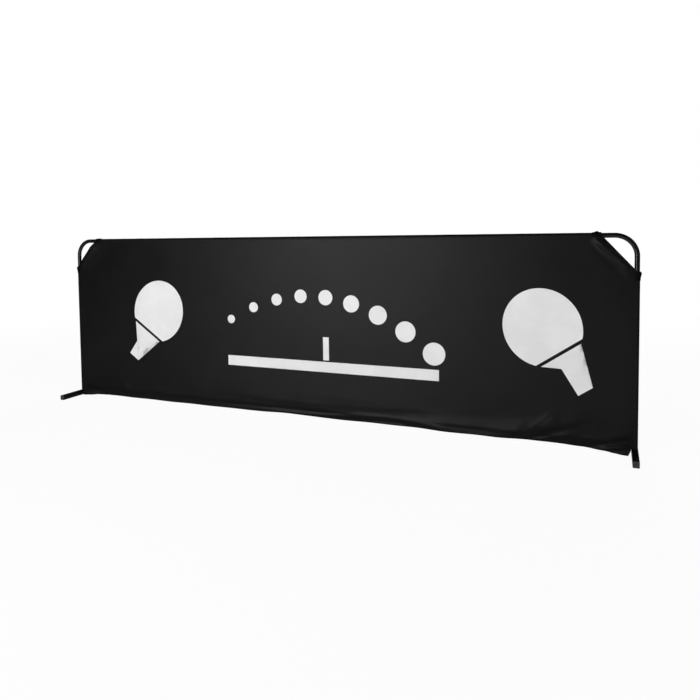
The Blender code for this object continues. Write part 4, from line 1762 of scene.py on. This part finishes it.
@dataclass
class CornerTapes:
    """The binding along the slanted edge of each cut corner."""

    needle: Needle
    sizes: BarrierSizes = SIZES
    thickness: float = 0.0006
    off: float = 0.00068  # from the middle of the cloth to the middle of the tape
    clear: float = 0.0046  # the tape ends this far from the tubes' axes
    wave: float = 0.00008
    bulge: float = 0.0002  # of its outer side
    outer_steps: int = 6
    margins: Place = (0.0017, 0.0015)  # from the tape's two edges to its stitches
    end_margin: float = 0.003
    stitch_off: float = 0.00045  # from the middle of the tape to the middle of the thread
    pitch: float = 0.012  # between its points, as a share of its length
    fold: float = 0.002  # what the turn round the edge takes of its width

    def build(self) -> None:
        """Builds the four tapes."""
        for layer in Layer:
            for side in Side:
                self._tape(layer, side)

    def _at(self, side: Side, layer: Layer, across: float, along: float, out: float) -> Vector:
        """A place on the tape.

        Args:
            side: The corner's side.
            layer: Which face of the cover it binds.
            across: Distance from the slanted edge.
            along: Share of the way down the slanted edge.
            out: Distance from the middle of the cloth, outwards.

        Returns:
            The place.
        """
        s = self.sizes
        slope = s.cut_width / s.cut_height
        inset_x, inset_z = across * s.cut_length / s.cut_height, across * s.cut_length / s.cut_width
        top = (s.cut_x - inset_x + self.clear * slope, s.axis_z - self.clear)
        end = (s.axis_x - self.clear, s.cut_z - inset_z + self.clear / slope)
        x = top[0] + (end[0] - top[0]) * along
        z = top[1] + (end[1] - top[1]) * along
        wave = self.wave * math.sin(90 * along + 3 * side.value + layer.value)
        depth = s.wrap_radius + out + wave + SHAPE.stand(x, z)
        return Vector((side.value * x, layer.value * depth, z))

    def _section(self) -> list[Place]:
        """The folded tape's section: its distance from the cut edge, and from the cloth's middle.

        Returns:
            Points from the outer side round the cut edge to the inner side.
        """
        wide, off = self.sizes.tape_width, self.off
        shares = [step / self.outer_steps for step in range(self.outer_steps)]
        outer = [(wide * (1 - t), off + self.bulge * math.sin(math.pi * t)) for t in shares]
        turn = [(0.0002, off), (-0.0004, off * 0.7), (-0.0007, 0.0), (-0.0004, -off * 0.7)]
        inner = [(0.0002, -off), (wide * 0.35, -off), (wide * 0.7, -off), (wide, -off)]
        return outer + turn + inner

    def _tape(self, layer: Layer, side: Side) -> None:
        """Builds one tape and its two rows of stitches.

        Args:
            layer: The face of the cover.
            side: The end of the barrier.
        """
        s = self.sizes
        name = f"{layer.word}_{side.word}_corner_tape"
        long = s.cut_length

        def knot(spot: Place, along: float) -> tuple[Vector, Place]:
            """A point of the tape, on the flat tape too."""
            across, out = spot
            return self._at(side, layer, across, along, out), (along * long, across)

        sheet = ClothMesh(f"{name}_cloth")
        places = spread(0.0, 1.0, self.pitch)
        sheet.lay(self._section(), places, knot, flip=layer.value * side.value > 0)
        tape = sheet.finish(self.thickness, FINISHES.tape)
        stands_for(tape, "frame", "binding_tape", name)
        inner, outer = self.margins
        for number, across in enumerate((inner, s.tape_width - outer), 1):

            def route(along: float, across: float = across) -> tuple[Vector, Vector]:
                """A place on the tape's outer face."""
                out = self.off + self.stitch_off
                point = self._at(side, layer, across, along / long, out)
                return point, Vector((0, layer.value, 0))

            start, end = self.end_margin, long - self.end_margin
            row = self.needle.sew(f"{name}_stitches_{number}", route, start, end)
            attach(row, "frame")
        rests_on = [f"{layer.word}_cloth"]
        log.info("%s: %.0f mm long", name, 1000 * long)


# Print


@dataclass(frozen=True)
class Motif:
    """A plain sporting pattern: two bats and the flight of a ball over a net."""

    middle: Place = (0.08, 0.355)
    reach: float = 0.79  # from the middle to a bat's centre
    raised: float = 0.042  # a bat's centre above the middle
    blade: Place = (0.126, 0.134)
    chord: float = -0.72  # where the rubber ends, in half heights of the blade
    shoulder: float = math.radians(66)  # how far round the throat follows the blade
    handle: Place = (0.046, 0.112)
    neck: float = 0.012  # from the blade to the handle
    pommel: float = 0.004  # how much wider the handle ends, to each side
    tilt: float = 34.0
    gap: float = 0.011
    table: tuple[float, float, float] = (0.44, 0.190, 0.230)  # half length, underside, top
    net: Place = (0.024, 0.095)
    net_gap: float = 0.006
    ball: float = 0.082
    spots: int = 3
    smallest: float = 0.42  # the first spot against the ball
    crest: float = 0.42  # where the flight is highest, as a share of its length
    flight_rise: Place = (0.056, 0.194)  # above the table at its lowest, and from there up

    def bat(self, side: Side) -> list[list[Place]]:
        """The outlines of one bat: its rubber, and its throat with the handle.

        Args:
            side: The end of the barrier that it is on.

        Returns:
            The two outlines.
        """
        wide, tall = self.blade
        grip, length = self.handle

        def arc(start: float, end: float, step: float) -> list[Place]:
            """A stretch of the blade's oval, by its angles."""
            return [(wide * math.cos(a), tall * math.sin(a)) for a in spread(start, end, step)]

        start = math.asin(self.chord)
        low = math.asin(self.chord - self.gap / tall)
        rubber = arc(start, math.pi - start, math.radians(5))
        left = arc(math.pi - low, math.pi + self.shoulder, math.radians(4))
        left += [(-grip / 2, -tall - self.neck), (-grip / 2 - self.pommel, -tall - length)]
        throat = left + [(-x, z) for x, z in reversed(left)]
        turn = math.radians(self.tilt) * side.value
        cos, sin = math.cos(turn), math.sin(turn)
        x0, z0 = self.middle[0] + side.value * self.reach, self.middle[1] + self.raised
        return [
            [(x0 + x * cos - z * sin, z0 + x * sin + z * cos) for x, z in outline]
            for outline in (rubber, throat)
        ]

    def flight(self) -> list[list[Place]]:
        """The ball and the spots that mark its flight over the net.

        Returns:
            Their outlines.
        """
        half, _, top = self.table
        low, rise = self.flight_rise
        turns = spread(0.0, 2 * math.pi, math.radians(9))[:-1]
        last = 2 * self.spots + 2
        found = []
        for step in range(last + 1):
            share = step / last
            x = self.middle[0] + (2 * share - 1) * half * 0.96
            z = top + low + rise * (1 - (abs(share - self.crest) / (1 - self.crest)) ** 2)
            radius = self.ball / 2 * (self.smallest + (1 - self.smallest) * share)
            found.append([(x + radius * math.cos(a), z + radius * math.sin(a)) for a in turns])
        return found

    def stand(self) -> list[list[Place]]:
        """The table's top seen from its side, and the net.

        Returns:
            Their outlines.
        """
        half, low, high = self.table
        wide, tall = self.net
        x = self.middle[0]
        boxes = ((half, low, high), (wide / 2, high + self.net_gap, high + tall))
        return [
            [(x - out, base), (x + out, base), (x + out, top), (x - out, top)]
            for out, base, top in boxes
        ]


@dataclass
class CoverPrint:
    """The white print on the front of the cover."""

    motif: Motif = Motif()
    shape: CoverShape = SHAPE
    cell: float = 0.015
    off: float = 0.00042  # from the middle of the cloth to the middle of the ink
    ink: float = 0.0002

    def build(self) -> None:
        """Prints the motif, one piece for each of its figures."""
        for side in Side:
            self._print(f"print_{side.word}_bat", self.motif.bat(side))
        self._print("print_ball_flight", self.motif.flight())
        self._print("print_table", self.motif.stand())

    def _print(self, name: str, outlines: Sequence[Sequence[Place]]) -> None:
        """Lays flat outlines on the cloth.

        Args:
            name: The piece's name.
            outlines: Closed outlines, in metres on the panel.
        """
        bm = bmesh.new()
        for outline in outlines:
            bm.faces.new([bm.verts.new((x, 0.0, z)) for x, z in outline])
        bmesh.ops.triangulate(bm, faces=bm.faces[:])
        for axis, normal in ((0, Vector((1, 0, 0))), (2, Vector((0, 0, 1)))):
            places = [vert.co[axis] for vert in bm.verts]
            for at in spread(min(places), max(places), self.cell)[1:-1]:
                geom = bm.verts[:] + bm.edges[:] + bm.faces[:]
                bmesh.ops.bisect_plane(bm, geom=geom, plane_co=normal * at, plane_no=normal)
        bmesh.ops.join_triangles(
            bm, faces=bm.faces[:], angle_face_threshold=0.1, angle_shape_threshold=3.0
        )
        flat = bm.loops.layers.uv.new(FLAT_MAP)
        for face in bm.faces:
            for loop in face.loops:
                loop[flat].uv = (loop.vert.co.x, loop.vert.co.z)
        bmesh.ops.recalc_face_normals(bm, faces=bm.faces)
        for face in bm.faces:
            if face.normal.y > 0:
                face.normal_flip()
        for vert in bm.verts:
            vert.co = self.shape.point(Layer.FRONT, vert.co.x, vert.co.z, self.off)
        mesh = bpy.data.meshes.new(name)
        bm.to_mesh(mesh)
        bm.free()
        mesh.shade_smooth()
        piece = FINISHES.ink.put_on(placed(mesh))
        thicken(piece, self.ink, 0)
        smooth(piece, 50)
        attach(piece, "frame")
        log.info("%s: %d faces", name, len(piece.data.polygons))


# Frame and feet


@dataclass
class TubeFrame:
    """The one bent tube."""

    sizes: BarrierSizes = SIZES
    ring: int = 40
    bend_steps: int = 28
    wall: float = 0.0012

    def build(self) -> None:
        """Draws the tube up one side, across the top and down the other."""
        s = self.sizes
        deselect()
        bpy.ops.mesh.primitive_circle_add(
            vertices=self.ring, radius=s.tube_radius, location=(-s.axis_x, 0, s.tube_end)
        )
        tube = bpy.context.object
        tube.name = tube.data.name = "bent_tube"
        rise = s.axis_z - s.bend_radius - s.tube_end
        across = 2 * (s.axis_x - s.bend_radius)
        with editing(tube):
            self._draw((0.0, 0.0, rise))
            self._bend(Side.LEFT)
            self._draw((across, 0.0, 0.0))
            self._bend(Side.RIGHT)
            self._draw((0.0, 0.0, -rise))
            bpy.ops.mesh.select_all(action="SELECT")
            bpy.ops.mesh.remove_doubles(threshold=0.00001)
            bpy.ops.mesh.normals_make_consistent(inside=False)
        settle(tube)
        thicken(tube, self.wall, -1)
        smooth(tube, 40)
        FINISHES.tube.put_on(tube)
        stands_for(tube, "frame", "painted_steel", "tube_frame")
        low, high = tube.bound_box[0], tube.bound_box[6]
        log.info("tube frame: %s to %s", tuple(low), tuple(high))

    @staticmethod
    def _draw(step: Point) -> None:
        """Extrudes the open end straight."""
        bpy.ops.mesh.extrude_region_move(TRANSFORM_OT_translate={"value": step})

    def _bend(self, side: Side) -> None:
        """Turns the open end through a quarter of a circle at one top corner.

        Args:
            side: The corner's side.
        """
        s = self.sizes
        centre = (side.value * (s.axis_x - s.bend_radius), 0.0, s.axis_z - s.bend_radius)
        bpy.ops.mesh.spin(
            steps=self.bend_steps, angle=math.radians(-90), center=centre, axis=(0, 1, 0)
        )


@dataclass
class FootCaps:
    """The push-in caps in the four ends of the feet."""

    sizes: BarrierSizes = SIZES
    corner: float = 0.0025
    flange: float = 0.003
    edge: float = 0.0006
    border: float = 0.0010  # round the recess in its face
    slope: float = 0.0004
    recess: float = 0.0004
    plug_side: float = 0.0164
    step: float = 0.0016  # from a rib's edge down to the plug, both sides together
    plug_length: float = 0.014
    ribs: int = 3
    rib_gap: float = 0.45  # before a rib, as a share of the ribs' pitch
    rib_width: float = 0.4
    tip: float = 1.45  # past the last rib
    tip_scale: float = 0.95

    def build(self) -> None:
        """Models one cap and copies it into each end."""
        pattern = self._model()
        s = self.sizes
        for side in Side:
            for layer, end, turn in ((Layer.FRONT, "front", 0.0), (Layer.BACK, "rear", math.pi)):
                name = f"{side.word}_foot_{end}_cap"
                place = (side.value * s.axis_x, layer.value * s.foot_length / 2, s.bar_side / 2)
                move = Matrix.Translation(place) @ Matrix.Rotation(turn, 4, "Z")
                cap = copy_of(pattern, f"{name}_moulding", move)
                stands_for(cap, f"{side.word}_foot", "grey_nylon", name)
                log.info("%s: %d faces", name, len(cap.data.polygons))
        bpy.data.objects.remove(pattern)

    def _model(self) -> bpy.types.Object:
        """Models a cap whose face points to -Y, with its outer face at y = 0.

        Returns:
            The pattern.
        """
        s = self.sizes
        deselect()
        bpy.ops.mesh.primitive_cube_add(size=1.0)
        cap = bpy.context.object
        cap.scale = (s.bar_side, self.flange, s.bar_side)
        cap.location = (0.0, self.flange / 2, 0.0)
        bpy.ops.object.transform_apply(location=True, scale=True)
        core = self.plug_side - self.step
        pitch = self.plug_length / (self.ribs + 1)
        with editing(cap):
            Part.EDGE.select(cap, lambda edge: abs((edge.verts[0].co - edge.verts[1].co).y) > 0.001)
            bpy.ops.mesh.bevel(offset=self.corner, segments=6, affect="EDGES")
            Part.EDGE.select(cap, lambda edge: all(abs(vert.co.y) < 1e-5 for vert in edge.verts))
            bpy.ops.mesh.bevel(offset=self.edge, segments=3, affect="EDGES")
            Part.FACE.select(cap, lambda face: face.normal.y < -0.999 and face.calc_area() > 1e-5)
            bpy.ops.mesh.inset(thickness=self.border)
            bpy.ops.mesh.inset(thickness=self.slope)
            bpy.ops.transform.translate(value=(0, self.recess, 0))
            Part.FACE.select(cap, lambda face: face.normal.y > 0.9)
            self._push(0.0, core / s.bar_side)
            for _ in range(self.ribs):
                self._push(pitch * self.rib_gap, 1.0)
                self._push(0.0, self.plug_side / core)
                self._push(pitch * self.rib_width, core / self.plug_side)
            self._push(pitch * self.tip, self.tip_scale)
        smooth(cap, 40)
        return FINISHES.grey_nylon.put_on(cap)

    @staticmethod
    def _push(length: float, scale: float) -> None:
        """Extrudes the plug's end and scales it about the cap's middle."""
        bpy.ops.mesh.extrude_region_move(TRANSFORM_OT_translate={"value": (0, length, 0)})
        bpy.ops.transform.resize(value=(scale, 1.0, scale), center_override=(0.0, 0.0, 0.0))


class KeptNodes:
    """The CAD nodes whose shape is right, each dressed in its finish."""

    FINISH_OF = {
        "lower_rail": FINISHES.tube,
        "tube_insert": FINISHES.black_nylon,
        "threaded_bush": FINISHES.zinc,
        "swivel_washer": FINISHES.black_nylon,
        "flat_washer": FINISHES.zinc,
        "spring_washer": FINISHES.zinc,
        "pivot_bolt": FINISHES.zinc,
        "foot_bar": FINISHES.foot,
        "hook_patch": FINISHES.hook,
        "loop_patch": FINISHES.loop,
    }

    def dress(self) -> None:
        """Puts a finish on every node whose name holds one of the known words."""
        for name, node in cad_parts.items():
            for word, finish in self.FINISH_OF.items():
                if word in name:
                    finish.put_on(node)
                    log.info("%s: %s", name, finish.name)


# Studio


@dataclass(frozen=True)
class Softbox:
    """A rectangular light on a stand."""

    name: str
    place: Point
    aim: Point
    size: Place  # width and height
    power: float  # in watts
    mirrored: bool = True  # whether it shows in reflections

    def hang(self) -> None:
        """Puts it up, turned towards what it lights."""
        data = bpy.data.lights.new(self.name, "AREA")
        data.shape = "RECTANGLE"
        data.size, data.size_y = self.size
        data.energy = self.power
        light = placed(data)
        light.location = self.place
        towards = Vector(self.aim) - light.location
        light.rotation_euler = towards.to_track_quat("-Z", "Y").to_euler()
        light.visible_camera = False
        light.visible_glossy = self.mirrored


@dataclass
class Studio:
    """Camera, floor, white surroundings and soft lights."""

    lens: float = 32.164
    position: Point = (1.0783, -2.1568, 0.6970)
    yaw: float = 0.3952
    pitch: float = -0.0522
    roll: float = -0.0106
    shift_y: float = -0.1116
    ambient: float = 0.16
    floor_size: float = 80.0
    floor_colour: Colour = (0.93, 0.93, 0.93)
    shadow_share: float = 0.06
    shadow_reach: Place = (1.6, 4.5)  # where the shadow on the floor starts to fade, and is gone
    tent_radius: float = 3.6
    tent_height: float = 12.0
    tent_colour: Colour = (0.06, 0.06, 0.06)
    pool: Place = (0.4, 0.8)  # where the painted pool of floor light is brightest in reflections
    pool_reach: Place = (0.5, 2.3)
    pool_light: float = 0.78
    band: float = 0.70  # the width of the painted shade along the barrier, where the reflected floor is dimmer
    band_light: float = 0.28  # the share of the painted light that the middle of that shade keeps
    far_light: Place = (0.27, 0.15)  # painted light beyond the pool at the left, and how much less at the right
    softboxes: tuple[Softbox, ...] = (
        Softbox("strip_light", (-1.02, -2.95, 0.95), (0.05, 0.0, 0.26), (1.25, 1.9), 55.5),
        Softbox("right_light", (4.2, -2.0, 1.8), (0.4, 0.0, 0.3), (1.8, 2.2), 46.0),
        Softbox("top_light", (0.1, -1.4, 3.6), (0.1, 0.0, 0.3), (4.2, 2.4), 24.0, False),
        Softbox("rear_light", (0.0, 4.0, 2.6), (0.0, 0.0, 0.35), (4.0, 2.0), 90.0, False),
    )

    def build(self) -> None:
        """Builds everything around the barrier."""
        self._camera()
        self._world()
        self._floor()
        self._dark_tent()
        for softbox in self.softboxes:
            softbox.hang()
        log.info("studio: %d softboxes", len(self.softboxes))

    def _camera(self) -> None:
        """Sets up the camera for a square picture."""
        data = bpy.data.cameras.new("camera")
        data.lens = self.lens
        data.sensor_width = 36.0
        data.shift_y = self.shift_y
        camera = placed(data)
        turn = Matrix.Rotation(self.yaw, 4, "Z")
        turn = turn @ Matrix.Rotation(math.pi / 2 + self.pitch, 4, "X")
        turn = turn @ Matrix.Rotation(self.roll, 4, "Z")
        camera.matrix_world = Matrix.Translation(self.position) @ turn
        bpy.context.scene.camera = camera

    def _world(self) -> None:
        """White to the camera and to reflections, plain and dimmer as a light."""
        world = bpy.data.worlds.new("studio")
        bpy.context.scene.world = world
        world.use_nodes = True
        graph = Graph(world.node_tree)
        plain = graph.tree.nodes["Background"]
        graph.feed(plain.inputs["Color"], WHITE)
        graph.feed(plain.inputs["Strength"], self.ambient)
        white = graph.value("ShaderNodeBackground", None, {"Color": WHITE, "Strength": 1.0})
        sky = graph.blend(Wire(graph, plain.outputs[0]), white, graph.seen())
        graph.feed(graph.tree.nodes["World Output"].inputs[0], sky)

    def _floor(self) -> None:
        """A plain pale floor that keeps the barrier's shadow."""
        deselect()
        bpy.ops.mesh.primitive_plane_add(size=self.floor_size, location=(0, 0, 0))
        floor = bpy.context.object
        floor.name = "studio_floor"
        graph = Surface("studio_floor")
        graph.set(Base_Color=self.floor_colour, Roughness=0.9, Specular=0.0)
        x, y, _ = graph.axes(graph.place())
        near = 1.0 - ((x * x + y * y) ** 0.5).rise(*self.shadow_reach)
        graph.glow(graph.seen() * (1.0 - near * self.shadow_share))
        floor.data.materials.append(graph.material)

    def _dark_tent(self) -> None:
        """Dark cloths round the set, for reflections only, whose base glows with painted light: a
        pool of lit floor, with painted shade along the barrier.
        """
        deselect()
        bpy.ops.mesh.primitive_cylinder_add(
            vertices=48,
            radius=self.tent_radius,
            depth=self.tent_height,
            location=(0, 0, self.tent_height / 2 + 0.001),
        )
        tent = bpy.context.object
        tent.name = "dark_tent"
        graph = Surface("dark_tent")
        graph.set(Base_Color=self.tent_colour, Roughness=0.9, Specular=0.0)
        x, y, z = graph.axes(graph.place())
        y = y.size()  # the same before the barrier as behind it
        # painted shade: the glow dims along the barrier
        clear = y.rise(0.0, self.band) * (1.0 - self.band_light) + self.band_light
        # painted light that fades from the left to the right
        left, less = self.far_light
        far = left - x.rise(-1.5, 1.5) * less
        # a painted pool of light
        x, y = x - self.pool[0], y - self.pool[1]
        near = (1.0 - ((x * x + y * y) ** 0.5).rise(*self.pool_reach)) * clear
        # only the tent's base glows: painted floor light that reflections see
        low = 1.0 - (z + self.tent_height / 2).rise(0.0, 0.01)
        graph.glow((near * self.pool_light + clear * far) * low)
        tent.data.materials.append(graph.material)
        for kind in ("camera", "diffuse", "transmission", "volume_scatter", "shadow"):
            setattr(tent, f"visible_{kind}", False)


# The whole barrier


def main() -> None:
    """Builds and dresses the barrier, then its studio."""
    logging.basicConfig(level=logging.INFO, format="%(name)s: %(message)s")
    bpy.context.scene.view_settings.view_transform = "Standard"
    KeptNodes().dress()
    TubeFrame().build()
    FootCaps().build()
    needle = Needle()
    FacePanel(Layer.FRONT, 0.0075, needle).build()
    FacePanel(Layer.BACK, 0.012, needle, row_counts=(20, 30, 12)).build()
    Strips(needle).build()
    Cuffs(needle).build()
    CornerTapes(needle).build()
    CoverPrint().build()
    Studio().build()


if __name__ == "__main__":
    main()
